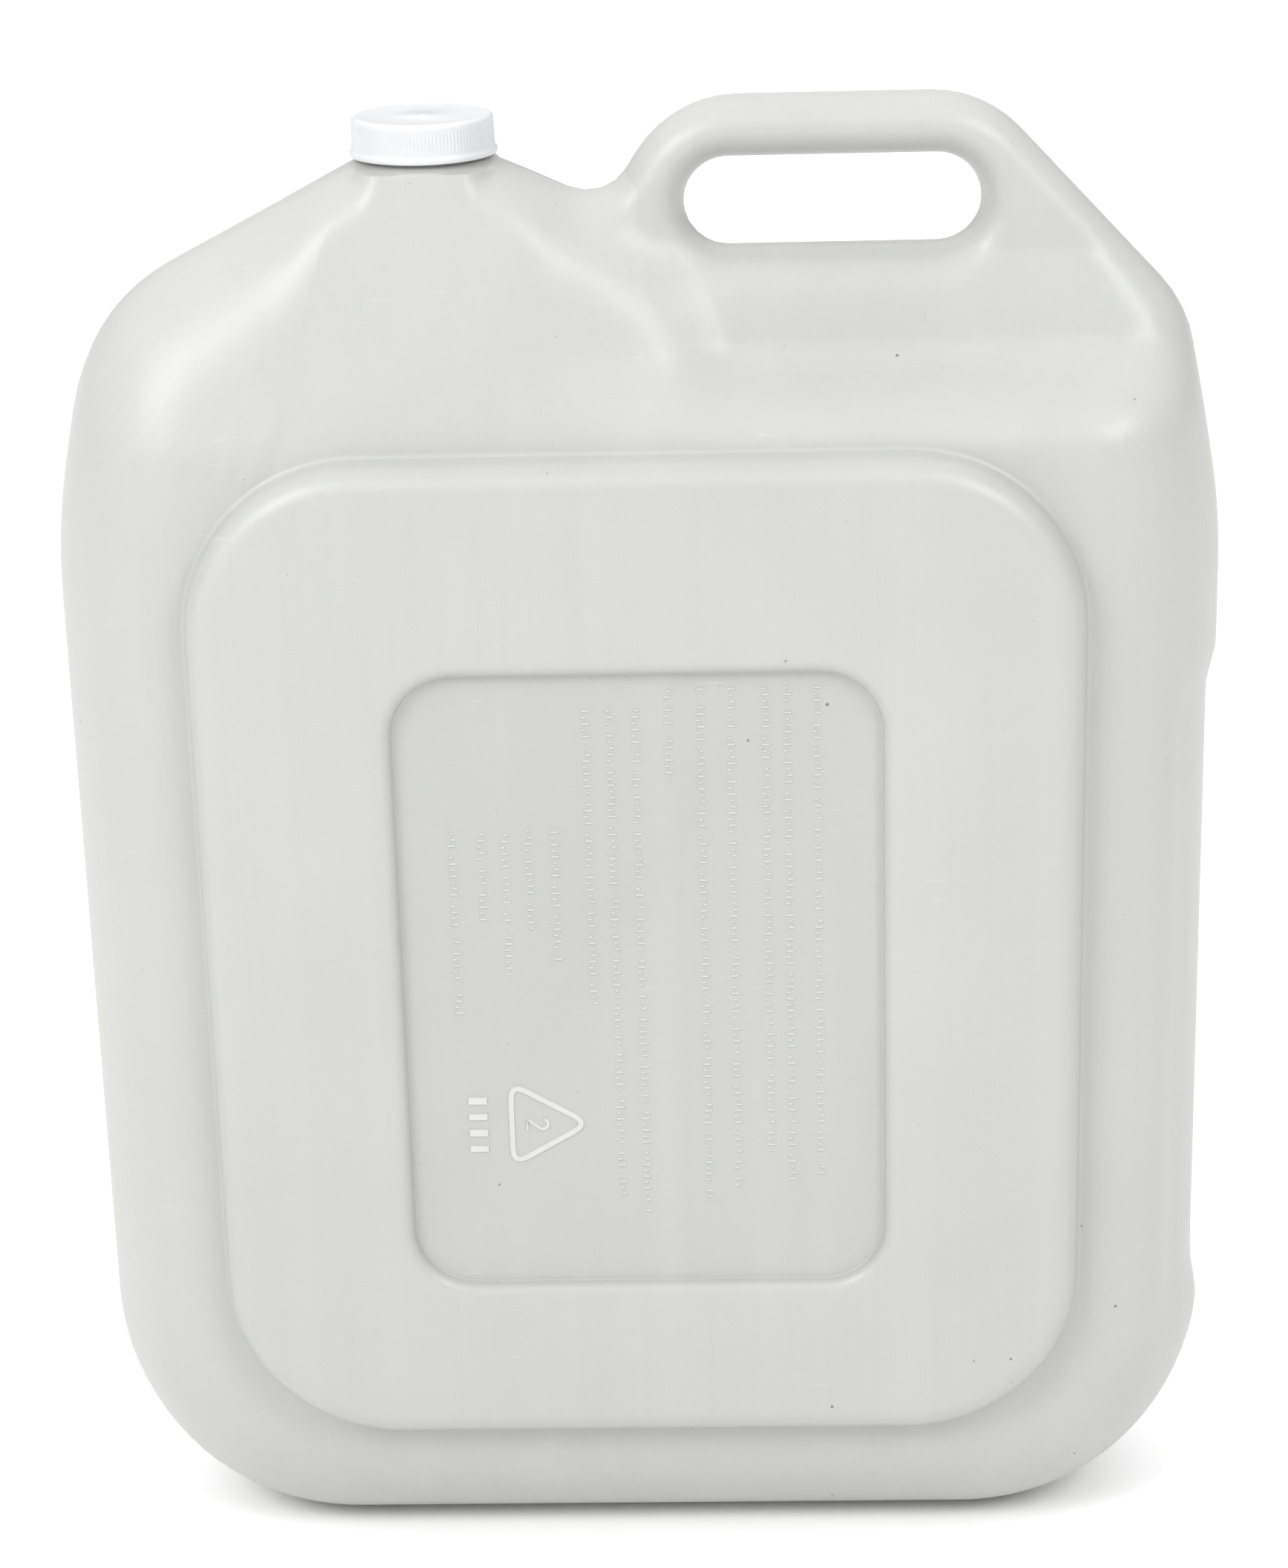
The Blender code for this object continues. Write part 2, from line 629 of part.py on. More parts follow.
def as_cutter(obj):
    obj.hide_render = True
    obj.display_type = "WIRE"
    return obj


def boolean(obj, other, operation):
    modifier = obj.modifiers.new(f"{operation}_{other.name}".lower(), "BOOLEAN")
    modifier.operation = operation
    modifier.object = other
    modifier.solver = "EXACT"


def shade(obj, angle=35):
    obj.data.shade_smooth()
    obj.data.set_sharp_from_angle(angle=math.radians(angle))


def container(finish, parts, cutters):
    form = Form()
    bm = bmesh.new()
    underside(bm, form)
    upper_side(bm, form)
    for side in (-1, 1):
        handle_rows(bm, form, side)
    neck_wall(bm)
    bmesh.ops.remove_doubles(bm, verts=bm.verts, dist=1e-6)
    for vert in bm.verts:
        vert.co.x -= strip_shift(vert.co)
    bmesh.ops.recalc_face_normals(bm, faces=bm.faces)
    lowest = min(bm.faces, key=lambda face: face.calc_center_median().z)
    if lowest.normal.z > 0:
        bmesh.ops.reverse_faces(bm, faces=bm.faces)
    body = mesh_object("container_body", bm, finish, parts)
    shell = body.modifiers.new("wall", "SOLIDIFY")
    shell.thickness = WALL
    shell.offset = -1
    shell.use_even_offset = False
    shell.use_rim = True
    first_ridge = LEDGE_Z + LEDGE_RISE + THREAD_ROOT_WIDTH
    neck_thread = thread("neck_thread", NECK_R, THREAD_HEIGHT, first_ridge, cutters)
    neck_thread.location = (NECK_X, 0, 0)
    foot = SEAT_Y - THREAD_ROOT_WIDTH - THREAD_PITCH * THREAD_TURNS - THREAD_ROOT_WIDTH / 2
    drain_thread = thread("drain_thread", DRAIN_R, THREAD_HEIGHT, foot, cutters, outwards=-1)
    drain_thread.matrix_world = drain_axis()
    for ridge in (neck_thread, drain_thread):
        boolean(body, as_cutter(ridge), "UNION")
    shade(body, 40)
    return body


def drain_axis():
    """The frame whose +Z runs out of the drain hole, along +Y, with its origin in the parting plane."""
    return Matrix.Translation((0, 0, DRAIN_Z)) @ Matrix.Rotation(-math.pi / 2, 4, "X")


# ---------------------------------------------------------------- turned pieces


def turned(name, profile, finish, collection, sides=ROUND_SIDES):
    """A closed profile of (radius, height) points, screwed about +Z. It runs down its outer side."""
    bm = bmesh.new()
    points = [bm.verts.new((radius, 0, height)) for radius, height in profile]
    for a, b in zip(points, points[1:]):
        bm.edges.new((a, b))
    if profile[0][0] > 0 and profile[-1][0] > 0:
        bm.edges.new((points[-1], points[0]))
    made = mesh_object(name, bm, finish, collection)
    screw = made.modifiers.new("turn", "SCREW")
    screw.steps = screw.render_steps = sides
    screw.use_merge_vertices = True
    screw.merge_threshold = 1e-5
    return made


def quarter(radius, height, r, start, steps=3):
    """Points of a quarter round about (radius, height), turning clockwise from the angle start in degrees."""
    angles = [math.radians(start - 90 * step / steps) for step in range(steps + 1)]
    return [(radius + r * math.cos(a), height + r * math.sin(a)) for a in angles]


LINER_Z = LIP_Z + SEAT_GAP
CAP_INNER_Z = LINER_Z + LINER_THICKNESS + SEAT_GAP
CAP_TOP_Z = CAP_INNER_Z + CAP_ROOF
CAP_BOTTOM_Z = LEDGE_Z + CAP_LIFT


def spout_cap(finish, parts, cutters):
    """Screw cap with a flared bead at its rim. Its thread runs half a pitch below the neck's."""
    profile = [(0, CAP_TOP_Z)]
    profile += quarter(CAP_R - CAP_EDGE_R, CAP_TOP_Z - CAP_EDGE_R, CAP_EDGE_R, 90)
    profile += [(CAP_R, CAP_BOTTOM_Z + 1.6 * CAP_BEAD_HEIGHT), (CAP_BEAD_R, CAP_BOTTOM_Z + CAP_BEAD_HEIGHT)]
    profile += [(CAP_BEAD_R, CAP_BOTTOM_Z + CAP_BEAD_HEIGHT / 3), (CAP_BEAD_R - 0.0006, CAP_BOTTOM_Z)]
    profile += [(CAP_BORE_R, CAP_BOTTOM_Z), (CAP_BORE_R, CAP_INNER_Z), (0, CAP_INNER_Z)]
    cap = turned("spout_cap", profile, finish, parts)
    cap.location = (NECK_X, 0, 0)
    first_ridge = LEDGE_Z + LEDGE_RISE + THREAD_ROOT_WIDTH + THREAD_PITCH / 2
    inner = CAP_BORE_R - NECK_R - THREAD_PLAY / 1.5
    ridge = thread("cap_thread", CAP_BORE_R, inner, first_ridge, cutters, outwards=-1)
    ridge.location = (NECK_X, 0, 0)
    boolean(cap, as_cutter(ridge), "UNION")
    shade(cap)


def spout_liner(finish, parts):
    radius = CAP_BORE_R - SEAT_GAP - THREAD_PLAY
    profile = [(0, LINER_Z + LINER_THICKNESS), (radius, LINER_Z + LINER_THICKNESS), (radius, LINER_Z), (0, LINER_Z)]
    liner = turned("spout_cap_liner", profile, finish, parts)
    liner.location = (NECK_X, 0, 0)
    shade(liner)


def drain_plug(finish, parts, cutters):
    """Hollow screw plug with a flange, a grip bar, and a groove for its O-ring."""
    under = SEAT_Y + SEAT_GAP + 2 * RING_SECTION_R - RING_GROOVE
    top = under + PLUG_FLANGE
    barrel_r = DRAIN_R - THREAD_HEIGHT - THREAD_PLAY
    groove = (RING_R - RING_SECTION_R - SEAT_GAP, RING_R + RING_SECTION_R + SEAT_GAP)
    groove_z = under + RING_GROOVE + SEAT_GAP
    profile = [(0, top)]
    profile += quarter(PLUG_FLANGE_R - PLUG_EDGE_R, top - PLUG_EDGE_R, PLUG_EDGE_R, 90)
    profile += [(PLUG_FLANGE_R, under), (groove[1], under), (groove[1], groove_z)]
    profile += [(groove[0], groove_z), (groove[0], under), (barrel_r, under)]
    profile += [(barrel_r, under - PLUG_BARREL_LENGTH), (barrel_r - PLUG_BARREL_WALL, under - PLUG_BARREL_LENGTH)]
    profile += [(barrel_r - PLUG_BARREL_WALL, top - PLUG_FLOOR), (0, top - PLUG_FLOOR)]
    plug = turned("drain_plug", profile, finish, parts)
    plug.matrix_world = drain_axis()
    foot = SEAT_Y - THREAD_ROOT_WIDTH - THREAD_PITCH * THREAD_TURNS - THREAD_ROOT_WIDTH / 2 - THREAD_PITCH / 2
    ridge = thread("plug_thread", barrel_r, THREAD_HEIGHT, foot, cutters)
    ridge.matrix_world = drain_axis()
    boolean(plug, as_cutter(ridge), "UNION")
    length, width, height = PLUG_GRIP
    bm = bmesh.new()
    bmesh.ops.create_cube(bm, size=1)
    sunk = PLUG_FLOOR / 2
    bmesh.ops.scale(bm, vec=(length, width, height + sunk), verts=bm.verts)
    bmesh.ops.translate(bm, vec=(0, 0, top + (height - sunk) / 2), verts=bm.verts)
    upright = [edge for edge in bm.edges if abs(edge.verts[0].co.z - edge.verts[1].co.z) > height / 2]
    bmesh.ops.bevel(
        bm, geom=upright, offset=width * 0.48, segments=4, profile=0.5, affect="EDGES", material=-1
    )
    grip = mesh_object("plug_grip", bm, None, cutters)
    grip.matrix_world = drain_axis()
    boolean(plug, as_cutter(grip), "UNION")
    shade(plug)


def drain_ring(finish, parts):
    """O-ring between the plug's groove and the drain seat."""
    centre = SEAT_Y + SEAT_GAP + RING_SECTION_R
    angles = [math.radians(90 - 45 * step) for step in range(8)]
    profile = [(RING_R + RING_SECTION_R * math.cos(a), centre + RING_SECTION_R * math.sin(a)) for a in angles]
    ring = turned("drain_plug_o_ring", profile, finish, parts)
    ring.matrix_world = drain_axis()
    shade(ring, 60)


def main():
    for obj in list(bpy.data.objects):
        bpy.data.objects.remove(obj)
    scene = bpy.context.scene.collection
    parts = bpy.data.collections.new("oil_drain_container")
    cutters = bpy.data.collections.new("helpers")
    scene.children.link(parts)
    scene.children.link(cutters)
    hdpe = material("natural_hdpe", (0.72, 0.72, 0.69), 0.45)
    white = material("white_polypropylene", (0.88, 0.89, 0.90), 0.35)
    foam = material("liner_foam", (0.90, 0.90, 0.88), 0.80)
    nitrile = material("nitrile_rubber", (0.02, 0.02, 0.02), 0.60)
    container(hdpe, parts, cutters)
    spout_liner(foam, parts)
    spout_cap(white, parts, cutters)
    drain_ring(nitrile, parts)
    drain_plug(white, parts, cutters)


main()
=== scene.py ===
import math

import bmesh
import bpy
import numpy as np
from mathutils import Matrix, Vector


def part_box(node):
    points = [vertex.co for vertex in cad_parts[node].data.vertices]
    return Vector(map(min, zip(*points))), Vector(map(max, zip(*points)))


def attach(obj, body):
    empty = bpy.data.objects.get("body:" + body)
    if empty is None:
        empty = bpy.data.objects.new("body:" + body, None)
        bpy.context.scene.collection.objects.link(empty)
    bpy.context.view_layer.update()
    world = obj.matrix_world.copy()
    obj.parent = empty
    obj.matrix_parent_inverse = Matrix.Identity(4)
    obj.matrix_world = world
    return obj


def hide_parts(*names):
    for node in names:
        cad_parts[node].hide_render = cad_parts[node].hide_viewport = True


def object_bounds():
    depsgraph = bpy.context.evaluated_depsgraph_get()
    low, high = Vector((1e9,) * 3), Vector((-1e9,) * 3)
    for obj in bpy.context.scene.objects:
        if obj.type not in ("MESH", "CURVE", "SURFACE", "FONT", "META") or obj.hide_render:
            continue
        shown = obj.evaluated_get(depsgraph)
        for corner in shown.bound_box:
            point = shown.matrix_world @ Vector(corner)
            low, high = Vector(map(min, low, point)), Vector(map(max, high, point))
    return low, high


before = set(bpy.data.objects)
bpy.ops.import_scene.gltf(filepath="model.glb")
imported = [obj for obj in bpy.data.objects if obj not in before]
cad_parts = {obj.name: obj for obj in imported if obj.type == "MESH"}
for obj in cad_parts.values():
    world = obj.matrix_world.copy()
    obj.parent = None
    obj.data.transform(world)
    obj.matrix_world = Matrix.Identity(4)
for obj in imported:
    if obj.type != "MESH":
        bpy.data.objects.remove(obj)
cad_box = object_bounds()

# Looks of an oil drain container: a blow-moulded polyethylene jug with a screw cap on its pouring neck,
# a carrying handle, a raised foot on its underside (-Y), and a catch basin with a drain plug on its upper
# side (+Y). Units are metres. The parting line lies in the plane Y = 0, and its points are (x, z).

# ---------------------------------------------------------------- sizes

# Overall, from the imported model
HALF_WIDTH = cad_box[1].x
BODY_HEIGHT = cad_box[1].z
RIM_Y = cad_box[1].y
FOOT_Y = cad_box[0].y
BODY_HALF = 0.060
WALL = 0.002
FLASH = 0.0003  # the parting line's ridge
FLASH_HALF = 0.0005
FLASH_FOOT = FLASH_HALF * 1.6
FLASH_FADE = 4  # points over which the ridge fades at the ends of a stretch

# Outline in the parting plane
BOTTOM_CORNER_R = 0.098
KNEE_DROP = 0.159
KNEE_R = 0.250
RIGHT_SHOULDER = (0.0129, 0.0823)
RIGHT_SHOULDER_R = 0.052
LEFT_SHOULDER = (0.0165, 0.0748)
LEFT_SHOULDER_R = 0.074
HANDLE_RIGHT_IN = 0.090
HANDLE_LEFT_IN = 0.206
HANDLE_CORNER_R = 0.045
SADDLE_IN = 0.2315
SADDLE_DROP = 0.0395
SADDLE_R = 0.018

# Handle and finger hole
GRIP_HEIGHT = 0.0227
GRIP_HALF = 0.015
HOLE_HEIGHT = 0.0334
HOLE_RIGHT_IN = 0.0909
HOLE_LENGTH = 0.111
WEB_HEIGHT = 0.012
WEB_TILT = 0.22

# Thickness towards the top
VALLEY_DROP = 0.089
SHOULDER_HEIGHT = 0.034
SHOULDER_FILLET = 0.30
EDGE_ROUND_SHARE = 0.85
NECK_ROUND_SHARE = 0.47
SIDE_FLAT = 0.006
SIDE_FLAT_FADE = 0.040
BASE_FLAT = 0.014
BASE_FLAT_HEIGHT = 0.070
FLANK_SLOPE = math.radians(38)
FLANK_DROP = 0.004
FLANK_IN = 0.196
FLANK_WIDTH = 0.030
FLANK_BLEND = 0.022
TAPER_SHARE = 0.5
TAPER_LEFT_IN = 0.165
TAPER_LENGTH = 0.090
RAMP_BLEND = 0.015
NECK_BLEND = (0.034, 0.070)

# Neck and threads
NECK_IN = 0.1465
NECK_DROP = 0.0225
NECK_R = 0.0238
LEDGE_R = 0.028
LEDGE_RISE = 0.0020
NECK_HEIGHT = 0.0143
THREAD_PITCH = 0.00423
THREAD_TURNS = 1.25
THREAD_ROOT_WIDTH = 0.0022
THREAD_CREST_WIDTH = 0.0010
THREAD_HEIGHT = 0.0011
THREAD_EDGE = (0.00025, 0.0002)  # of the crest, down and along
THREAD_SINK = 0.0006
THREAD_PLAY = 0.00045
THREAD_START = math.radians(3.7)
THREAD_FADE = 14  # degrees over which both ends rise
LEDGE_EDGE = (0.0006, 0.0003)  # across and up
NECK_FILLET = 0.0006
LIP_EDGE = 0.0005

# Foot and panel on the underside
FOOT_IN = 0.0545
FOOT_BOTTOM = 0.0590
FOOT_TOP_DROP = 0.1212
FOOT_R = 0.067
FOOT_EDGE_R = 0.0115
FOOT_FILLET = 0.0022
PANEL_IN = 0.075
PANEL_BOTTOM_IN = 0.067
PANEL_TOP_IN = 0.080
PANEL_R = 0.025
PANEL_DEPTH = 0.006
PANEL_ROUND = (0.0060, 0.0052)  # of its upper edge, across and down
PANEL_EDGE_OUT = 0.005  # from the panel's outline out to the start of that rounding
PANEL_LAND = 0.0005  # flat around the rounding
PANEL_FILLET = 0.0008

# Catch basin and drain seat
BASIN_IN = 0.046
BASIN_BOTTOM = 0.046
BASIN_TOP_DROP = 0.122
BASIN_R = 0.072
RIM_RISE = 0.015
RIM_WIDTH = 0.020
BASIN_DEPTH = 0.053
BASIN_EDGE = 0.034
BASIN_FALL = 0.006
DRAIN_TOP_IN = 0.110
DRAIN_R = 0.0255
SEAT_R = 0.0360
SEAT_DEPTH = 0.003
SEAT_EDGE = 0.001
SEAT_FILLET = 0.0004
COLLAR_EDGE = 0.0005
COLLAR_LENGTH = 0.016

# Strip in the right side wall
STRIP_DEPTH = 0.0034
STRIP_BOTTOM = (0.086, 0.112)
STRIP_TOP = (0.353, 0.371)
STRIP_EDGE = (0.040, 0.052)

# Screw cap and liner
CAP_ROOF = 0.0016
CAP_DRAFT = 0.0003  # how much narrower the ribbed wall is at its top
CAP_EDGE_R = 0.0018
CAP_DISH = (0.00045, 0.0004)  # of the top, halfway out and at its land
CAP_LAND = 0.0026
CAP_GATE_R = 0.0013
CAP_GATE_EDGE = (0.0004, 0.0003)  # across and down
CAP_BEAD_HEIGHT = 0.0022
CAP_BEAD_OUT = 0.0009
CAP_BEAD_R = 0.0006
CAP_FLARE = ((0.0, -0.0003), (0.0003, -0.0008), (0.0008, -0.0013), (CAP_BEAD_OUT, -0.0018))  # out, up
CAP_MOUTH_EDGE = 0.0004
CAP_CORNER = 0.0006
CAP_RIBS = 120
CAP_RIB_RISE = 0.00028
CAP_RIB_GAP = (0.0004, 0.0010)  # above and below the ribs
CAP_RIB_FADE = 0.0012
LINER_EDGE = 0.0002
SEAT_GAP = 0.0003

# Drain plug and O-ring
PLUG_BARREL_WALL = 0.0022
PLUG_BARREL_LENGTH = 0.0125
PLUG_FLOOR = 0.0024
PLUG_STEP = ((0.80, 0.0), (0.815, 0.0002), (0.83, 0.0007), (0.845, 0.0010))  # share of the radius, drop
PLUG_RIM_R = 0.0010
PLUG_RIM_DROP = 0.0020
PLUG_FLANGE_EDGE = 0.0003
PLUG_FILLET = 0.0004
PLUG_CORNER = 0.0006
PLUG_NOTCHES = 30
PLUG_NOTCH_DEPTH = 0.0006
PLUG_GRIP = (0.050, 0.0070, 0.0100)
PLUG_GRIP_ROUND = 0.46  # of the grip's width
PLUG_GRIP_EDGE = 0.0012
RING_SECTION_R = 0.0014
RING_R = 0.0293
RING_GROOVE = 0.0016

# Fineness of the mesh
SPACING = 0.0078
HANDLE_SPACING = 0.006
EDGE_ROWS = 16
HANDLE_ROWS = 18
FILLET_ROWS = 4
FOOT_ROWS = 9
RIM_ROWS = 8
BASIN_ROWS = 18
PANEL_ROWS = (8, 3)  # of its rounding and of its fillet
NECK_SIDES = 96
FOOT_EVENNESS = 0.35
PANEL_EVENNESS = 0.7
CIRCLE_SIDES = 120
THREAD_STEPS = 96

# Places that follow
FOOT_RISE = -FOOT_Y - BODY_HALF
FOOT_TOP = BODY_HEIGHT - FOOT_TOP_DROP
BASIN_TOP = BODY_HEIGHT - BASIN_TOP_DROP
NECK_X = -HALF_WIDTH + NECK_IN
LEDGE_Z = BODY_HEIGHT - NECK_DROP
LIP_Z = LEDGE_Z + NECK_HEIGHT
HOLE_TOP = BODY_HEIGHT - GRIP_HEIGHT
HOLE_R = HOLE_HEIGHT / 2
HOLE_Z = HOLE_TOP - HOLE_R
HOLE_X1 = HALF_WIDTH - HOLE_RIGHT_IN - HOLE_R
HOLE_X0 = HOLE_X1 - HOLE_LENGTH + HOLE_HEIGHT
WEB_Z = HOLE_Z - HOLE_R - WEB_HEIGHT
VALLEY_Z = BODY_HEIGHT - VALLEY_DROP
SHOULDER_Z = VALLEY_Z - SHOULDER_HEIGHT
DRAIN_Z = BASIN_TOP - DRAIN_TOP_IN
FLOOR_Y = RIM_Y - BASIN_DEPTH
SEAT_Y = FLOOR_Y - BASIN_FALL - SEAT_DEPTH
PANEL_Y = FOOT_Y + PANEL_DEPTH
THREAD_RISE = THREAD_PITCH * THREAD_TURNS
NECK_THREAD = LEDGE_Z + LEDGE_RISE + THREAD_ROOT_WIDTH  # where the neck's thread starts
COLLAR_THREAD = SEAT_Y - THREAD_ROOT_WIDTH - THREAD_RISE - THREAD_ROOT_WIDTH / 2  # and the collar's

QUARTER = math.pi / 2


def smooth(share):
    """0 below 0, 1 above 1, and an S-curve between them."""
    share = np.clip(share, 0.0, 1.0)
    return share * share * (3 - 2 * share)


# ---------------------------------------------------------------- outline


def line_points(start, end, spacing):
    """Points from start up to end, without end."""
    length = (end - start).length
    if length < 1e-6:
        return []
    steps = max(1, round(length / spacing))
    return [start.lerp(end, step / steps) for step in range(steps)]


def path_points(corners, spacing):
    """Points along a path through corners (x, z, radius), with each corner rounded to its radius."""
    places = [Vector(corner[:2]) for corner in corners]
    points = []
    start = places[0]
    for before, place, after, corner in zip(places, places[1:], places[2:], corners[1:]):
        into = (place - before).normalized()
        out = (after - place).normalized()
        turn = math.atan2(into.x * out.y - into.y * out.x, into.dot(out))
        reach = corner[2] * math.tan(abs(turn) / 2)
        first = place - into * reach
        points += line_points(start, first, spacing)
        left = Vector((-into.y, into.x)) * math.copysign(corner[2], turn)
        steps = max(1, round(corner[2] * abs(turn) / spacing))
        points += [first + left + Matrix.Rotation(turn * s / steps, 2) @ -left for s in range(steps)]
        start = place + out * reach
    return points + line_points(start, places[-1], spacing) + [places[-1]]


def outline_corners():
    """The parting line's corners by name, each (x, z, radius)."""
    top = BODY_HEIGHT
    return {
        "neck_left": (NECK_X - LEDGE_R, LEDGE_Z, 0),
        "left_shoulder": (-HALF_WIDTH + LEFT_SHOULDER[0], top - LEFT_SHOULDER[1], LEFT_SHOULDER_R),
        "left_knee": (-HALF_WIDTH, top - KNEE_DROP, KNEE_R),
        "bottom_left": (-HALF_WIDTH, 0, BOTTOM_CORNER_R),
        "bottom_right": (HALF_WIDTH, 0, BOTTOM_CORNER_R),
        "right_knee": (HALF_WIDTH, top - KNEE_DROP, KNEE_R),
        "right_shoulder": (HALF_WIDTH - RIGHT_SHOULDER[0], top - RIGHT_SHOULDER[1], RIGHT_SHOULDER_R),
        "handle_right": (HALF_WIDTH - HANDLE_RIGHT_IN, top, HANDLE_CORNER_R),
        "handle_left": (HALF_WIDTH - HANDLE_LEFT_IN, top, HANDLE_CORNER_R),
        "saddle": (HALF_WIDTH - SADDLE_IN, top - SADDLE_DROP, SADDLE_R),
        "neck_right": (NECK_X + LEDGE_R, LEDGE_Z, 0),
    }


def saddle_end(along_roof=True):
    """Where the saddle's round ends: on the pouring end's roof, or on the handle's leg."""
    corner = {name: Vector(place[:2]) for name, place in outline_corners().items()}
    roof = (corner["neck_right"] - corner["saddle"]).normalized()
    leg = (corner["handle_left"] - corner["saddle"]).normalized()
    reach = SADDLE_R * math.tan((math.pi - roof.angle(leg)) / 2)
    return corner["saddle"] + (roof if along_roof else leg) * reach


def web_ends():
    """Where the line between body and handle meets the outline: on the handle's leg, and on its slope."""
    corner = {name: Vector(place[:2]) for name, place in outline_corners().items()}
    slope = corner["right_shoulder"] - corner["handle_right"]
    share = (WEB_Z - corner["handle_right"].y) / slope.y
    return saddle_end(along_roof=False), corner["handle_right"] + slope * share


def quarter_steps(start, end, spacing):
    """Even steps of a quarter turn, without its end, about one for each spacing from start to end."""
    steps = max(2, round(1.25 * (end - start).length / spacing))
    return [QUARTER * step / steps for step in range(steps)]


def boundary_paths(spacing, handle_spacing):
    """The stretches of outline around the body and around the handle, and the web line that parts them."""
    corners = outline_corners()
    left, right = web_ends()
    names = ("right_shoulder", "right_knee", "bottom_right", "bottom_left", "left_knee", "left_shoulder")
    body = path_points([(*right, 0), *(corners[name] for name in names), corners["neck_left"]], spacing)
    roof = path_points([corners["neck_right"], corners["saddle"], (*left, 0)], handle_spacing)
    names = ("handle_left", "handle_right")
    handle = path_points([(*left, 0), *(corners[name] for name in names), (*right, 0)], handle_spacing)
    turn_in = Vector((HOLE_X0 - HOLE_R / 2, WEB_Z))
    web = [left + (turn_in - left) * (1 - math.cos(a)) for a in quarter_steps(left, turn_in, handle_spacing)]
    web += [turn_in + (right - turn_in) * math.sin(a) for a in quarter_steps(turn_in, right, handle_spacing)]
    return body, roof, handle, [*web, right]


# ---------------------------------------------------------------- thickness


def distance_to_path(x, z, path):
    """Distance of each point (x, z) to a path of straight steps."""
    path = np.array([tuple(point) for point in path])
    start, step = path[:-1], np.diff(path, axis=0)
    offset = np.stack([x, z], axis=-1)[..., None, :] - start
    along = np.clip((offset * step).sum(-1) / (step * step).sum(-1), 0, 1)
    return np.linalg.norm(offset - along[..., None] * step, axis=-1).min(axis=-1)


class Form:
    """The container's half thickness over the parting plane."""

    def __init__(self):
        body, roof, handle, _ = boundary_paths(0.003, 0.002)
        self.outline = roof + handle[1:] + body[1:]
        self.saddle = saddle_end()

    def ramp(self, z):
        """Half thickness of the pouring end, which thins steadily from the body to the neck."""
        rise = z - SHOULDER_Z
        bend = np.clip(rise + RAMP_BLEND, 0, None) ** 2 / (4 * RAMP_BLEND)
        soft = np.where(rise > RAMP_BLEND, rise, bend)
        return BODY_HALF - (BODY_HALF - LEDGE_R) * soft / (LEDGE_Z - SHOULDER_Z)

    def near_neck(self, x, z):
        """1 around the neck, and 0 away from it."""
        away = np.hypot(x - NECK_X, z - LEDGE_Z)
        return 1 - smooth((away - NECK_BLEND[0]) / (NECK_BLEND[1] - NECK_BLEND[0]))

    def thickness(self, x, z):
        """Full half thickness, before the edges are rounded."""
        drop = np.clip((VALLEY_Z - z) / SHOULDER_HEIGHT, 0, 1)
        drop = drop * drop / (drop + SHOULDER_FILLET) * (1 + SHOULDER_FILLET)
        drop = np.sin(drop * QUARTER)
        tilt = WEB_TILT * np.clip((HOLE_Z - HOLE_R - z) / (HOLE_Z - HOLE_R - VALLEY_Z), 0, 1)
        web = GRIP_HALF + (BODY_HALF - GRIP_HALF) * (drop + (1 - drop) * tilt)
        below = self.saddle.y - FLANK_DROP - z
        slope = -(x - self.saddle.x) * math.sin(FLANK_SLOPE) + below * math.cos(FLANK_SLOPE)
        upright = HALF_WIDTH - FLANK_IN - x
        apart = np.clip(FLANK_BLEND - abs(slope - upright), 0, None)
        inside = np.minimum(slope, upright) - apart * apart / (4 * FLANK_BLEND)
        taper = smooth((x + HALF_WIDTH - TAPER_LEFT_IN) / TAPER_LENGTH)
        share = smooth(0.5 + inside / FLANK_WIDTH) * (1 - TAPER_SHARE * taper)
        share = share + (1 - share) * self.near_neck(x, z)
        return web + np.maximum(self.ramp(z) - web, 0) * share

    def side_flat(self, z):
        """Half width of the flat strip along the parting line."""
        base = (BASE_FLAT - SIDE_FLAT) * smooth((BASE_FLAT_HEIGHT - z) / BASE_FLAT_HEIGHT)
        return (SIDE_FLAT + base) * smooth((VALLEY_Z - z) / SIDE_FLAT_FADE)

    def depth(self, x, z):
        """Distance of the outer face from the parting plane."""
        thickness = self.thickness(x, z)
        flat = self.side_flat(z)
        near = self.near_neck(x, z)
        radius = thickness * (EDGE_ROUND_SHARE + (NECK_ROUND_SHARE - EDGE_ROUND_SHARE) * near)
        spine = np.clip(x, HOLE_X0, HOLE_X1)
        to_hole = np.hypot(x - spine, z - HOLE_Z) - HOLE_R
        inward = np.minimum(distance_to_path(x, z, self.outline), to_hole)
        share = np.clip(inward / radius, 0, 1)
        return flat + (thickness - flat) * np.sqrt(1 - (1 - share) ** 2)

    def depths(self, points):
        """The depth at each of a list of points."""
        return self.depth(np.array([point.x for point in points]), np.array([point.y for point in points]))


def strip_shift(place):
    """How far the right side wall stands back at a place, for its shallow strip."""
    if place.x < HALF_WIDTH / 2:
        return 0.0
    rise = smooth((place.z - STRIP_BOTTOM[0]) / (STRIP_BOTTOM[1] - STRIP_BOTTOM[0]))
    fall = smooth((STRIP_TOP[1] - place.z) / (STRIP_TOP[1] - STRIP_TOP[0]))
    across = smooth((STRIP_EDGE[1] - abs(place.y)) / (STRIP_EDGE[1] - STRIP_EDGE[0]))
    return STRIP_DEPTH * float(rise * fall * across)


# ---------------------------------------------------------------- rings


def spread(lengths, total, evenness):
    """Moves places along a closed loop towards even spacing, in order. 0 leaves them, 1 is even."""
    steps = np.mod(np.diff(lengths, append=lengths[:1]), total)
    run = np.concatenate([[0.0], np.cumsum(steps)[:-1]])
    even = total * np.arange(len(lengths)) / len(lengths)
    even = even + (run - even).mean()
    return lengths[0] + run + (even - run) * evenness


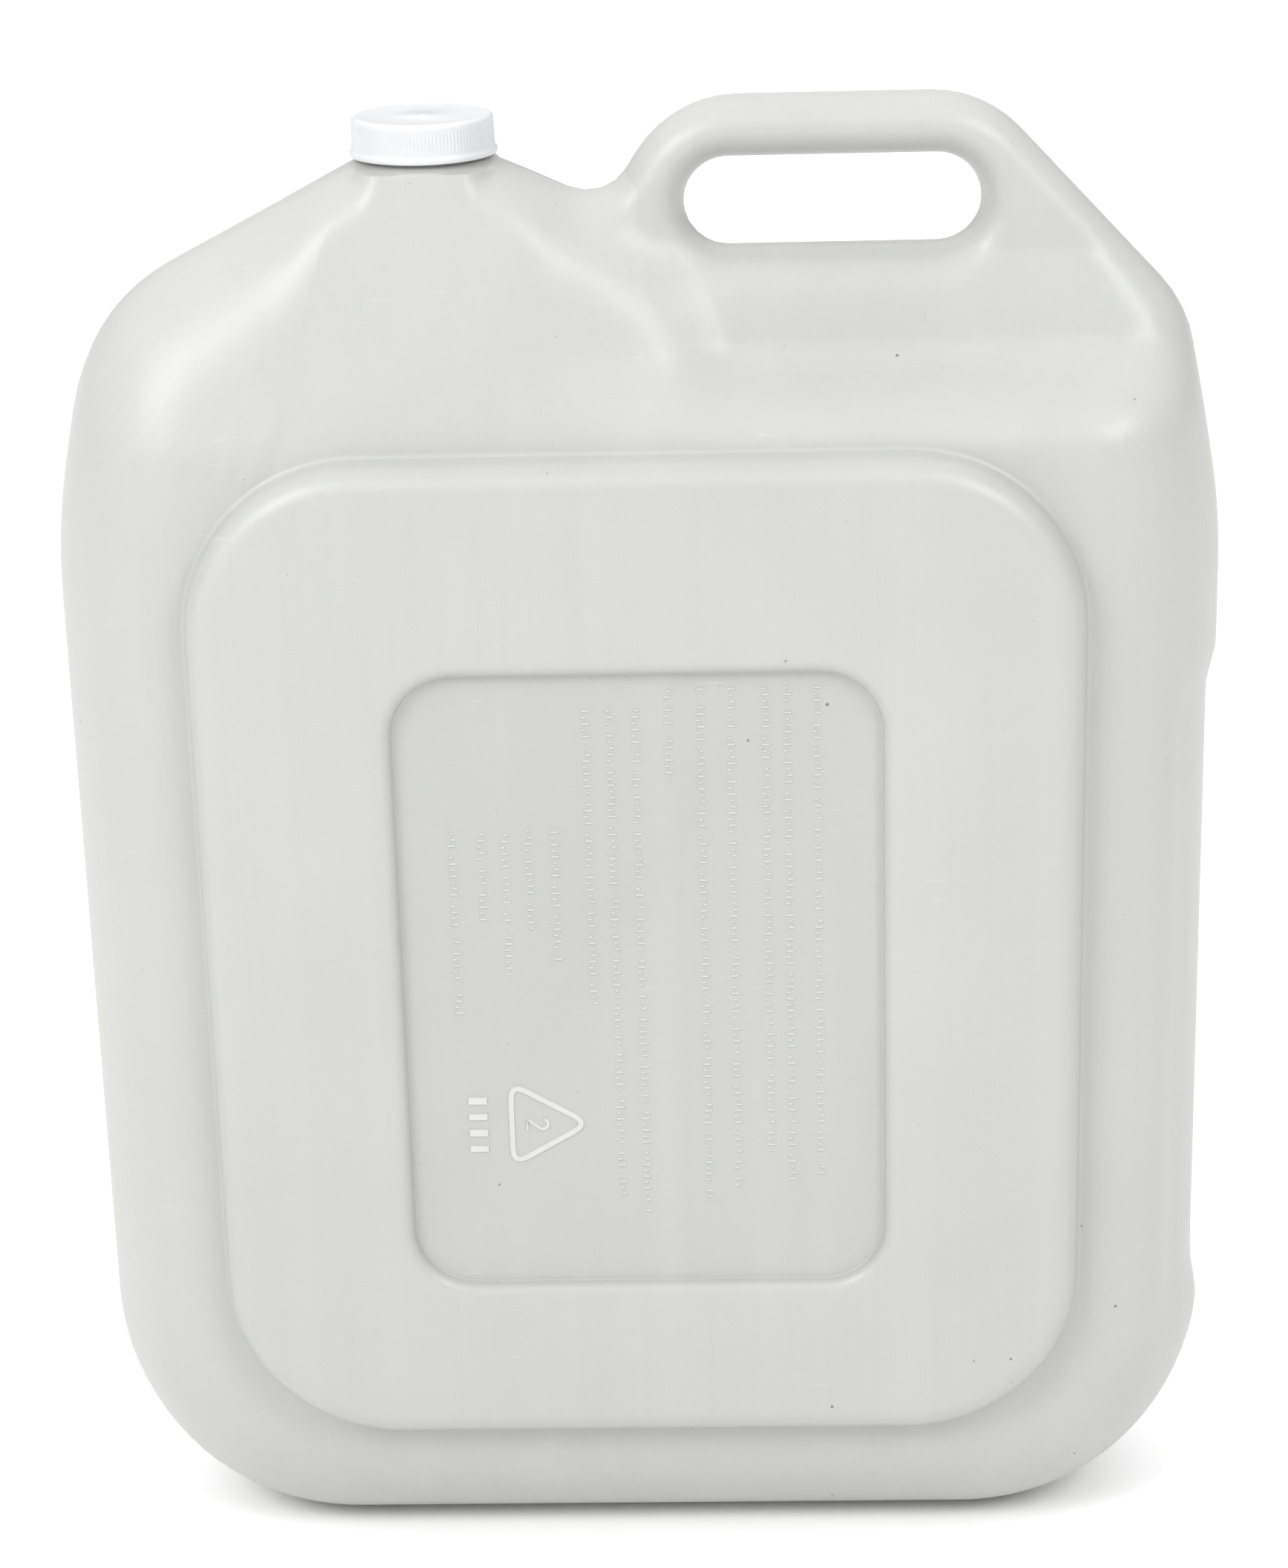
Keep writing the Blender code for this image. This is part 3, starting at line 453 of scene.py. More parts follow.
class Disc:
    """A circle in the parting plane, walked clockwise as seen from -Y."""

    def __init__(self, x, z):
        self.centre = Vector((x, z))

    def ring(self, points, radius, evenness):
        """Points that face the given ones on a circle, spread towards even spacing."""
        facing = np.array([-math.atan2(p.y - self.centre.y, p.x - self.centre.x) for p in points])
        turned_to = spread(facing, math.tau, evenness)
        return [self.centre + Vector((math.cos(a), -math.sin(a))) * radius for a in turned_to]


class RoundedBox:
    """A rounded rectangle in the parting plane. Offsets of it share their corner centres."""

    def __init__(self, half_width, bottom, top, radius):
        self.low = Vector((-half_width + radius, bottom + radius))
        self.high = Vector((half_width - radius, top - radius))
        self.radius = radius

    def facing(self, seen_from, offset):
        """The nearest point of the outline grown by offset."""
        x = min(max(seen_from.x, self.low.x), self.high.x)
        z = min(max(seen_from.y, self.low.y), self.high.y)
        core = Vector((x, z))
        return core + (seen_from - core).normalized() * (self.radius + offset)

    def loop(self, offset, steps=60):
        """The outline grown by offset as a closed chain of points, clockwise as seen from -Y."""
        radius = self.radius + offset
        low, high = self.low, self.high
        chain = []
        centres = ((high.x, high.y), (high.x, low.y), (low.x, low.y), (low.x, high.y))
        for number, (x, z) in enumerate(centres):
            for step in range(steps + 1):
                angle = QUARTER * (1 - number - step / steps)
                chain.append((x + radius * math.cos(angle), z + radius * math.sin(angle)))
        return np.array(chain + chain[:1])

    def ring(self, points, offset, evenness):
        """Points that face the given ones on the outline grown by offset, spread towards even spacing."""
        chain = self.loop(offset)
        step = np.diff(chain, axis=0)
        run = np.concatenate([[0.0], np.cumsum(np.hypot(step[:, 0], step[:, 1]))])
        lengths = []
        for seen_from in points:
            place = np.array(self.facing(seen_from, offset))
            share = np.clip(((place - chain[:-1]) * step).sum(1) / (step * step).sum(1), 0, 1)[:, None]
            nearest = np.linalg.norm(chain[:-1] + step * share - place, axis=1).argmin()
            lengths.append(run[nearest] + (run[nearest + 1] - run[nearest]) * share[nearest, 0])
        places = np.mod(spread(np.array(lengths), run[-1], evenness), run[-1])
        return [Vector((np.interp(a, run, chain[:, 0]), np.interp(a, run, chain[:, 1]))) for a in places]


def ring_of(bm, places):
    """A closed ring of vertices and edges."""
    ring = [bm.verts.new(place) for place in places]
    for a, b in zip(ring, ring[1:] + ring[:1]):
        bm.edges.new((a, b))
    return ring


def pull_ring(bm, ring, places):
    """Extrudes a ring by one row of faces, and puts the new ring at places."""
    edges = [bm.edges.get((a, b)) for a, b in zip(ring, ring[1:] + ring[:1])]
    made = bmesh.ops.extrude_edge_only(bm, edges=edges)["geom"]
    fresh = {item for item in made if isinstance(item, bmesh.types.BMVert)}
    pulled = [next(e.other_vert(v) for e in v.link_edges if e.other_vert(v) in fresh) for v in ring]
    for vert, place in zip(pulled, places):
        vert.co = place
    return pulled


def placed(points, depths, side):
    """3-D places of points of the parting plane, at these distances from it, on one side (-1 or 1)."""
    return [Vector((point.x, side * float(depth), point.y)) for point, depth in zip(points, depths)]


# ---------------------------------------------------------------- container


def edge_rings(points, free, first, flats):
    """Points inside the flash ridge, and the depths of its side and of the flat strip's edge.

    first holds the depths at the outline, flats the flat strip's, and free how much of the ridge each has.
    """
    count = len(points)
    inner = []
    for number, point in enumerate(points):
        along = (points[(number + 1) % count] - points[number - 1]).normalized()
        inner.append(point + Vector((along.y, -along.x)) * FLASH * free[number])
    side = [depth + FLASH_HALF * share for share, depth in zip(free, first)]
    edge = [depth + max(FLASH_FOOT * share, flat) for share, flat, depth in zip(free, flats, first)]
    return inner, side, edge


def fading(count):
    """Shares along a stretch of outline that fade to 0 at both ends."""
    return [float(smooth(min(number, count - 1 - number) / FLASH_FADE)) for number in range(count)]


def body_edge(form):
    """The body's outer points clockwise from the web line's right end, their depths, and their flash."""
    body, roof, _, web = boundary_paths(SPACING, HANDLE_SPACING)
    half = NECK_SIDES // 2
    angles = [math.pi * (1 - step / half) for step in range(1, half)]
    neck = [Vector((NECK_X + LEDGE_R * math.cos(angle), LEDGE_Z)) for angle in angles]
    inner_web = web[1:-1]
    points = body + neck + roof + inner_web
    first = [0.0] * len(body) + [LEDGE_R * math.sin(a) for a in angles]
    first += [0.0] * len(roof) + list(form.depths(inner_web))
    free = fading(len(body)) + [0] * len(neck) + fading(len(roof)) + [0] * len(inner_web)
    return points, first, free


def body_rows(bm, form, side, outline, offset):
    """Rows of faces from the parting line in to a rounded outline on one side.

    Returns the outer points, the points on the rounded outline, and the ring there.
    """
    points, first, free = body_edge(form)
    flats = [float(form.side_flat(point.y)) for point in points]
    inner, ridge, edge = edge_rings(points, free, first, flats)
    ring = ring_of(bm, placed(points, first, side))
    for spots, depths in ((inner, ridge), (inner, edge)):
        ring = pull_ring(bm, ring, placed(spots, depths, side))
    ends = outline.ring(points, offset, FOOT_EVENNESS)
    for row in range(1, EDGE_ROWS + 1):
        share = 1 - math.cos(row * QUARTER / EDGE_ROWS)
        between = [a.lerp(b, share) for a, b in zip(inner, ends)]
        ring = pull_ring(bm, ring, placed(between, form.depths(between), side))
    return points, ends, ring


def turns(steps, first=1):
    """Angles up to a quarter turn in even steps."""
    return [QUARTER * step / steps for step in range(first, steps + 1)]


def fillet_rows():
    """Rows (offset, rise) of the fillet between the body's face and a wall that stands on it."""
    return [(FOOT_FILLET * (1 - math.sin(a)), FOOT_FILLET * (1 - math.cos(a))) for a in turns(FILLET_ROWS)]


def panel_rows():
    """Rows (offset, drop) down into the panel: a convex rounding, a wall, and a small fillet at its foot."""
    across, down = PANEL_ROUND
    rounding, fillet = PANEL_ROWS
    foot = PANEL_EDGE_OUT - across
    rows = [(PANEL_EDGE_OUT + PANEL_LAND, 0.0)]
    rows += [(PANEL_EDGE_OUT - across * math.sin(a), down * (1 - math.cos(a))) for a in turns(rounding)]
    for angle in turns(fillet):
        rise = PANEL_FILLET * (1 - math.sin(angle))
        rows.append((foot - PANEL_FILLET * (1 - math.cos(angle)), PANEL_DEPTH - rise))
    return rows


def underside(bm, form):
    """The -Y face: edge, raised foot, and the shallow panel in the foot."""
    foot = RoundedBox(HALF_WIDTH - FOOT_IN, FOOT_BOTTOM, FOOT_TOP, FOOT_R)
    points, ends, ring = body_rows(bm, form, -1, foot, FOOT_FILLET)
    base = form.depths(ends)
    rows = fillet_rows()
    for angle in turns(FOOT_ROWS, first=0):
        rows.append((-FOOT_EDGE_R * (1 - math.cos(angle)), FOOT_RISE - FOOT_EDGE_R * (1 - math.sin(angle))))
    for offset, rise in rows:
        share = rise / FOOT_RISE
        depths = base + (-FOOT_Y - base) * share
        ring = pull_ring(bm, ring, placed(foot.ring(points, offset, FOOT_EVENNESS), depths, -1))
    sides = HALF_WIDTH - FOOT_IN - PANEL_IN
    panel = RoundedBox(sides, FOOT_BOTTOM + PANEL_BOTTOM_IN, FOOT_TOP - PANEL_TOP_IN, PANEL_R)
    for offset, drop in panel_rows():
        depths = [-FOOT_Y - drop] * len(points)
        ring = pull_ring(bm, ring, placed(panel.ring(points, offset, PANEL_EVENNESS), depths, -1))
    bm.faces.new(ring)


def upper_side(bm, form):
    """The +Y face: edge, raised rim, catch basin, drain seat and the collar that leads oil inside."""
    basin = RoundedBox(HALF_WIDTH - BASIN_IN, BASIN_BOTTOM, BASIN_TOP, BASIN_R)
    points, ends, ring = body_rows(bm, form, 1, basin, FOOT_FILLET)
    base = form.depths(ends)
    rows = fillet_rows()
    for angle in turns(RIM_ROWS):
        rise = FOOT_FILLET + (RIM_RISE - FOOT_FILLET) * math.sin(angle)
        rows.append((-RIM_WIDTH / 2 * (1 - math.cos(angle)), rise))
    for offset, rise in rows:
        depths = base + (RIM_Y - base) * rise / RIM_RISE
        ring = pull_ring(bm, ring, placed(basin.ring(points, offset, FOOT_EVENNESS), depths, 1))
    for step in range(1, BASIN_ROWS + 1):
        share = step / BASIN_ROWS
        offset = -RIM_WIDTH / 2 - BASIN_EDGE * share
        depths = [RIM_Y - BASIN_DEPTH * float(smooth(share))] * len(points)
        last = basin.ring(points, offset, FOOT_EVENNESS)
        ring = pull_ring(bm, ring, placed(last, depths, 1))
    drain = Disc(0.0, DRAIN_Z)
    slope_end = drain.ring(last, SEAT_R + SEAT_EDGE * 3, 1.0)
    for share in (0.25, 0.5, 0.75):
        between = [a.lerp(b, share) for a, b in zip(last, slope_end)]
        depths = [FLOOR_Y - BASIN_FALL * share] * len(points)
        ring = pull_ring(bm, ring, placed(between, depths, 1))
    top = SEAT_Y + SEAT_DEPTH
    rows = [(SEAT_R + SEAT_EDGE * 3, top), (SEAT_R + SEAT_EDGE, top)]
    for angle in (0.5, 1.0, QUARTER):
        rows.append((SEAT_R + SEAT_EDGE * (1 - math.sin(angle)), top - SEAT_EDGE * (1 - math.cos(angle))))
    rows += [(SEAT_R, SEAT_Y + SEAT_FILLET), (SEAT_R - SEAT_FILLET, SEAT_Y), (DRAIN_R + COLLAR_EDGE, SEAT_Y)]
    rows += [(DRAIN_R, SEAT_Y - drop) for drop in (COLLAR_EDGE, COLLAR_LENGTH / 2, COLLAR_LENGTH)]
    for radius, depth in rows:
        circle = drain.ring(last, radius, 1.0)
        ring = pull_ring(bm, ring, placed(circle, [depth] * len(points), 1))


def handle_rows(bm, form, side):
    """The handle's face on one side, from its outline and the web line in to the finger hole."""
    _, _, handle, web = boundary_paths(SPACING, HANDLE_SPACING)
    inner_web = web[1:-1][::-1]
    outer = handle + inner_web
    first = [0.0] * len(handle) + list(form.depths(inner_web))
    free = fading(len(handle)) + [0] * len(inner_web)
    inner, ridge, _ = edge_rings(outer, free, first, [0.0] * len(outer))
    ring = ring_of(bm, placed(outer, first, side))
    ring = pull_ring(bm, ring, placed(inner, ridge, side))
    spine = [Vector((min(max(p.x, HOLE_X0), HOLE_X1), HOLE_Z)) for p in outer]
    hole = [core + (p - core).normalized() * HOLE_R for p, core in zip(outer, spine)]
    flash_foot = [core + (p - core).normalized() * (HOLE_R + FLASH) for p, core in zip(outer, spine)]
    for row in range(1, HANDLE_ROWS):
        share = (1 - math.cos(row * math.pi / HANDLE_ROWS)) / 2
        between = [a.lerp(b, share) for a, b in zip(inner, hole)]
        ring = pull_ring(bm, ring, placed(between, form.depths(between), side))
    for spots, depth in ((flash_foot, FLASH_FOOT), (flash_foot, FLASH_HALF), (hole, 0.0)):
        ring = pull_ring(bm, ring, placed(spots, [depth] * len(outer), side))


def neck_wall(bm):
    """The ledge and the plain wall of the pouring neck, up to its lip."""
    def circle(radius, height):
        angles = [math.tau * step / NECK_SIDES for step in range(NECK_SIDES)]
        return [Vector((NECK_X - radius * math.cos(a), radius * math.sin(a), height)) for a in angles]

    ring = ring_of(bm, circle(LEDGE_R, LEDGE_Z))
    for radius, height in (
        (LEDGE_R - LEDGE_EDGE[0], LEDGE_Z + LEDGE_EDGE[1]),
        (NECK_R + NECK_FILLET, LEDGE_Z + LEDGE_RISE),
        (NECK_R, LEDGE_Z + LEDGE_RISE + NECK_FILLET),
        (NECK_R, LIP_Z - LIP_EDGE),
        (NECK_R - LIP_EDGE, LIP_Z),
    ):
        ring = pull_ring(bm, ring, circle(radius, height))


def drain_axis():
    """The frame whose +Z runs out of the drain hole, along +Y, with its origin in the parting plane."""
    return Matrix.Translation((0, 0, DRAIN_Z)) @ Matrix.Rotation(-QUARTER, 4, "X")


def thread(radius, height, foot, place, outwards=1):
    """A helical ridge about +Z, moved to place. Its root is sunk in the wall at radius, its ends fade."""
    bm = bmesh.new()
    root = radius - outwards * THREAD_SINK
    crest = radius + outwards * height
    half, tip = THREAD_ROOT_WIDTH / 2, THREAD_CREST_WIDTH / 2
    near, low = crest - outwards * THREAD_EDGE[0], tip + THREAD_EDGE[1]
    profile = [(root, -half), (near, -low), (crest, -tip), (crest, tip), (near, low), (root, half)]
    face = bm.faces.new([bm.verts.new((r, 0, foot + z)) for r, z in profile])
    steps = round(THREAD_STEPS * THREAD_TURNS)
    bmesh.ops.spin(
        bm,
        geom=[face, *face.edges, *face.verts],
        cent=(0, 0, 0),
        axis=(0, 0, 1),
        dvec=(0, 0, THREAD_RISE / steps),
        angle=math.tau * THREAD_TURNS,
        steps=steps,
    )
    degrees = THREAD_TURNS * 360
    for vert in bm.verts:
        reach = math.hypot(vert.co.x, vert.co.y)
        along = min(max((vert.co.z - foot) / THREAD_RISE, 0.0), 1.0) * degrees
        fade = float(smooth(min(along, degrees - along) / THREAD_FADE))
        if (reach - root) * outwards > 1e-5:
            wanted = root + (reach - root) * fade + outwards * THREAD_SINK / 2 * (1 - fade)
            vert.co.x *= wanted / reach
            vert.co.y *= wanted / reach
    bmesh.ops.transform(bm, matrix=place @ Matrix.Rotation(THREAD_START, 4, "Z"), verts=bm.verts)
    bmesh.ops.recalc_face_normals(bm, faces=bm.faces)
    return bm


def mesh_object(name, bm, finish=None):
    """Makes an object at the origin from a bmesh, and frees the bmesh."""
    mesh = bpy.data.meshes.new(name)
    bm.to_mesh(mesh)
    bm.free()
    made = bpy.data.objects.new(name, mesh)
    bpy.context.scene.collection.objects.link(made)
    if finish:
        mesh.materials.append(finish)
    return made


def united(made, additions):
    """Joins closed meshes to an object by Booleans, and keeps only the result."""
    helpers = []
    for number, bm in enumerate(additions):
        helper = mesh_object(f"{made.name}_joined_{number}", bm)
        modifier = made.modifiers.new(helper.name, "BOOLEAN")
        modifier.operation = "UNION"
        modifier.solver = "EXACT"
        modifier.object = helper
        helpers.append(helper)
    graph = bpy.context.evaluated_depsgraph_get()
    result = bpy.data.meshes.new_from_object(made.evaluated_get(graph))
    result.name = made.name
    made.modifiers.clear()
    made.data = result
    for helper in helpers:
        bpy.data.objects.remove(helper)


def shaded(made, angle):
    """Smooth shading, with edges sharper than angle, in degrees, kept sharp."""
    made.data.shade_smooth()
    made.data.set_sharp_from_angle(angle=math.radians(angle))
    return made


def container(finish):
    """The blow-moulded shell with its neck, handle, foot and basin, and both threads."""
    form = Form()
    bm = bmesh.new()
    underside(bm, form)
    upper_side(bm, form)
    for side in (-1, 1):
        handle_rows(bm, form, side)
    neck_wall(bm)
    bmesh.ops.remove_doubles(bm, verts=bm.verts, dist=1e-6)
    for vert in bm.verts:
        vert.co.x -= strip_shift(vert.co)
    bmesh.ops.recalc_face_normals(bm, faces=bm.faces)
    lowest = min(bm.faces, key=lambda face: face.calc_center_median().z)
    if lowest.normal.z > 0:
        bmesh.ops.reverse_faces(bm, faces=bm.faces)
    shell = mesh_object("container_shell", bm, finish)
    wall = shell.modifiers.new("wall", "SOLIDIFY")
    wall.thickness = WALL
    wall.offset = -1
    threads = [
        thread(NECK_R, THREAD_HEIGHT, NECK_THREAD, Matrix.Translation((NECK_X, 0, 0))),
        thread(DRAIN_R, THREAD_HEIGHT, COLLAR_THREAD, drain_axis(), outwards=-1),
    ]
    united(shell, threads)
    return shaded(shell, 50)


# ---------------------------------------------------------------- cap, plug and seals


def spun(profile, sides, place):
    """A profile of (radius, height) points, from top to underside, spun about +Z and moved to place."""
    bm = bmesh.new()
    points = [bm.verts.new((radius, 0, height)) for radius, height in profile]
    edges = [bm.edges.new(pair) for pair in zip(points, points[1:])]
    if profile[0][0] > 0 and profile[-1][0] > 0:
        edges.append(bm.edges.new((points[-1], points[0])))
    bmesh.ops.spin(
        bm,
        geom=[*points, *edges],
        cent=(0, 0, 0),
        axis=(0, 0, 1),
        angle=math.tau,
        steps=sides,
        use_merge=True,
    )
    bmesh.ops.remove_doubles(bm, verts=bm.verts, dist=1e-7)
    bmesh.ops.transform(bm, matrix=place, verts=bm.verts)
    bmesh.ops.recalc_face_normals(bm, faces=bm.faces)
    return bm


def arc(radius, height, r, start, sweep, steps):
    """Points of an arc about (radius, height), from the angle start through sweep, in degrees."""
    angles = [math.radians(start + sweep * step / steps) for step in range(steps + 1)]
    return [(radius + r * math.cos(a), height + r * math.sin(a)) for a in angles]


def cap_profile(bore, wall, bead, base, top, ribs):
    """The cap's section from the middle of its top to the middle of its roof, as (radius, height)."""
    roof = top - CAP_ROOF
    rib_foot, rib_top = ribs
    profile = [(0, top), (CAP_GATE_R - CAP_GATE_EDGE[0], top), (CAP_GATE_R, top - CAP_GATE_EDGE[1])]
    profile += [(bead / 2, top - CAP_DISH[0]), (wall - CAP_EDGE_R - CAP_LAND, top - CAP_DISH[1])]
    edge = wall - CAP_DRAFT - CAP_EDGE_R
    profile += arc(edge, top - CAP_EDGE_R, CAP_EDGE_R, start=100, sweep=-100, steps=8)[:-1]
    for step in range(7):
        share = step / 6
        profile.append((wall - CAP_DRAFT * (1 - share), rib_top + (rib_foot - rib_top) * share))
    profile += [(wall + out, rib_foot + up) for out, up in CAP_FLARE]
    profile += arc(bead - CAP_BEAD_R, base + CAP_BEAD_R, CAP_BEAD_R, start=0, sweep=-90, steps=4)
    profile += [(bore + CAP_MOUTH_EDGE, base), (bore, base + CAP_MOUTH_EDGE), (bore, roof - CAP_CORNER)]
    return [*profile, (bore - CAP_CORNER, roof), (0, roof)]


def spout_cap(finish):
    """Screw cap with a gate mark, a rounded top edge, fine ribs, and a flared smooth bead."""
    low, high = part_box("spout_cap")
    centre = Vector(((low.x + high.x) / 2, (low.y + high.y) / 2, 0))
    bead = (high.x - low.x) / 2
    wall = bead - CAP_BEAD_OUT
    bore = NECK_R + THREAD_HEIGHT + THREAD_PLAY
    rib_top = high.z - CAP_EDGE_R - CAP_RIB_GAP[0]
    rib_foot = low.z + CAP_BEAD_HEIGHT + CAP_RIB_GAP[1]
    profile = cap_profile(bore, wall, bead, low.z, high.z, (rib_foot, rib_top))
    bm = spun(profile, CAP_RIBS * 4, Matrix.Translation(centre))
    for vert in bm.verts:
        offset = vert.co - centre
        reach = math.hypot(offset.x, offset.y)
        if reach < wall - CAP_DRAFT - 1e-4 or not rib_foot - 1e-4 < vert.co.z < rib_top + 1e-4:
            continue
        across = 0.5 + 0.5 * math.cos(math.atan2(offset.y, offset.x) * CAP_RIBS)
        ends = smooth((vert.co.z - rib_foot) / CAP_RIB_FADE) * smooth((rib_top - vert.co.z) / CAP_RIB_FADE)
        move = CAP_RIB_RISE * (across - 1) * float(ends)
        vert.co.x += offset.x / reach * move
        vert.co.y += offset.y / reach * move
    cap = mesh_object("ribbed_spout_cap", bm, finish)
    height = bore - NECK_R - THREAD_PLAY / 1.5
    foot = NECK_THREAD + THREAD_PITCH / 2
    united(cap, [thread(bore, height, foot, Matrix.Translation(centre), outwards=-1)])
    return shaded(cap, 40)


def liner(finish):
    """Foam disc under the cap's roof."""
    low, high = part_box("spout_cap_liner")
    radius, middle = (high.x - low.x) / 2, (high.x + low.x) / 2
    profile = [(0, high.z), (radius - LINER_EDGE, high.z), (radius, high.z - LINER_EDGE)]
    profile += [(radius, low.z + LINER_EDGE), (radius - LINER_EDGE, low.z), (0, low.z)]
    disc = spun(profile, NECK_SIDES, Matrix.Translation((middle, 0, 0)))
    return shaded(mesh_object("cap_liner_disc", disc, finish), 40)


def o_ring(finish):
    """Rubber ring in the groove of the plug's flange."""
    height = SEAT_Y + SEAT_GAP + RING_SECTION_R
    profile = arc(RING_R, height, RING_SECTION_R, start=90, sweep=-360, steps=16)[:-1]
    return shaded(mesh_object("drain_o_ring", spun(profile, CIRCLE_SIDES, drain_axis()), finish), 60)


def plug_profile(rim, barrel, under, top):
    """The plug's section from the middle of its face to the middle of its floor, as (radius, height)."""
    bore, foot, floor = barrel - PLUG_BARREL_WALL, under - PLUG_BARREL_LENGTH, top - PLUG_FLOOR
    groove = (RING_R - RING_SECTION_R - SEAT_GAP, RING_R + RING_SECTION_R + SEAT_GAP)
    groove_z = under + RING_GROOVE + SEAT_GAP
    profile = [(0, top), *((rim * share, top - drop) for share, drop in PLUG_STEP)]
    profile += arc(rim - PLUG_RIM_R, top - PLUG_RIM_DROP, PLUG_RIM_R, start=90, sweep=-90, steps=5)
    profile += [(rim, under + PLUG_FLANGE_EDGE), (rim - PLUG_FLANGE_EDGE, under), (groove[1], under)]
    profile += [(groove[1], groove_z), (groove[0], groove_z), (groove[0], under)]
    profile += [(barrel + PLUG_FILLET, under), (barrel, under - PLUG_FILLET)]
    profile += [(barrel, foot + PLUG_CORNER), (barrel - PLUG_CORNER, foot), (bore, foot)]
    return [*profile, (bore, floor - PLUG_CORNER), (bore - PLUG_CORNER, floor), (0, floor)]


def grip_bar(top, place):
    """The plug's grip: a bar with round ends and a softened ridge, sunk halfway into the plug's face."""
    grip = bmesh.new()
    length, width, height = PLUG_GRIP
    sunk = PLUG_FLOOR / 2
    bmesh.ops.create_cube(grip, size=1)
    bmesh.ops.scale(grip, vec=(length, width, height + sunk), verts=grip.verts)
    bmesh.ops.translate(grip, vec=(0, 0, top + (height - sunk) / 2), verts=grip.verts)
    upright = [edge for edge in grip.edges if abs(edge.verts[0].co.z - edge.verts[1].co.z) > height / 2]
    settings = {"profile": 0.5, "affect": "EDGES", "material": -1}
    bmesh.ops.bevel(grip, geom=upright, offset=width * PLUG_GRIP_ROUND, segments=6, **settings)
    ridge = [edge for edge in grip.edges if min(vert.co.z for vert in edge.verts) > top + height - 1e-5]
    bmesh.ops.bevel(grip, geom=ridge, offset=PLUG_GRIP_EDGE, segments=4, **settings)
    bmesh.ops.transform(grip, matrix=place, verts=grip.verts)
    return grip


def drain_plug(finish):
    """Hollow screw plug with a stepped flange, a notched rim, and a grip bar."""
    low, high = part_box("drain_plug")
    rim = (high.x - low.x) / 2
    under = SEAT_Y + SEAT_GAP + 2 * RING_SECTION_R - RING_GROOVE
    top = high.y - PLUG_GRIP[2]
    barrel = DRAIN_R - THREAD_HEIGHT - THREAD_PLAY
    place = drain_axis()
    bm = spun(plug_profile(rim, barrel, under, top), CIRCLE_SIDES * 2, Matrix.Identity(4))
    for vert in bm.verts:
        reach = math.hypot(vert.co.x, vert.co.y)
        if reach < rim - PLUG_RIM_R - 1e-4 or vert.co.z < under + PLUG_FLANGE_EDGE - 1e-4:
            continue
        turn = math.atan2(vert.co.y, vert.co.x) * PLUG_NOTCHES / (math.tau)
        notch = float(smooth(1 - abs(turn - round(turn)) * 5))
        vert.co.x *= 1 - PLUG_NOTCH_DEPTH * notch / reach
        vert.co.y *= 1 - PLUG_NOTCH_DEPTH * notch / reach
    bmesh.ops.transform(bm, matrix=place, verts=bm.verts)
    plug = mesh_object("threaded_drain_plug", bm, finish)
    foot = COLLAR_THREAD - THREAD_PITCH / 2
    united(plug, [grip_bar(top, place), thread(barrel, THREAD_HEIGHT, foot, place)])
    return shaded(plug, 40)


# ---------------------------------------------------------------- moulded marks in the panel


MARK_RISE = 0.00045
MARK_SLOPE = MARK_RISE * 0.8  # how far the sides of a mark lean in
TICK = (0.0034, 0.0011)  # across a row and along it
TICK_PITCH = 0.0025
TICK_GAP = TICK_PITCH * 0.9  # between two groups of ticks
ROWS = (  # x, top, run of each row of ticks
    (0.0676, 0.3720, 0.200), (0.0565, 0.3720, 0.203), (0.0484, 0.3720, 0.191), (0.0354, 0.3720, 0.206),
    (0.0240, 0.3720, 0.211), (0.0119, 0.3715, 0.037), (-0.0003, 0.3640, 0.207), (-0.0100, 0.3640, 0.200),
    (-0.0190, 0.3640, 0.121), (-0.0320, 0.3160, 0.052), (-0.0420, 0.3165, 0.044), (-0.0510, 0.3150, 0.058),
    (-0.0600, 0.3155, 0.036), (-0.0710, 0.3160, 0.074),
)
GROUPS = (5, 3, 7, 4, 2, 6, 9, 3, 5, 8, 4, 6)  # ticks between two gaps
SHAPES = (  # reach and shift of one tick after another, in tick lengths
    (1.0, 0.0), (0.62, -0.19), (1.0, 0.0), (0.5, 0.0), (0.7, 0.15), (1.0, 0.0), (0.6, -0.2),
)
TRIANGLE_CENTRE = (-0.0425, 0.1950)
TRIANGLE_R = 0.0200
TRIANGLE_ROUND = 0.20  # share of a side that each corner's rounding takes
TRIANGLE_WIDTH = 0.0026
FIGURE_WIDTH = 0.0016
FIGURE_R = 0.0022
FIGURE_FOOT = -0.0040
BLOCK = (-0.0655, 0.2050)
BLOCK_HALF = 0.0036
BLOCK_PITCH = 0.0068
BLOCK_WIDTHS = (0.0034, 0.0030, 0.0034, 0.0030)


def tick(bm, x, z, across, along):
    """A low bar on the panel with sloping sides."""
    size = Matrix.Diagonal((across, 2 * MARK_RISE, along, 1))
    made = bmesh.ops.create_cube(bm, size=1, matrix=Matrix.Translation((x, PANEL_Y, z)) @ size)
    for vert in made["verts"]:
        if vert.co.y < PANEL_Y:
            vert.co.x -= math.copysign(MARK_SLOPE, vert.co.x - x)
            vert.co.z -= math.copysign(MARK_SLOPE, vert.co.z - z)


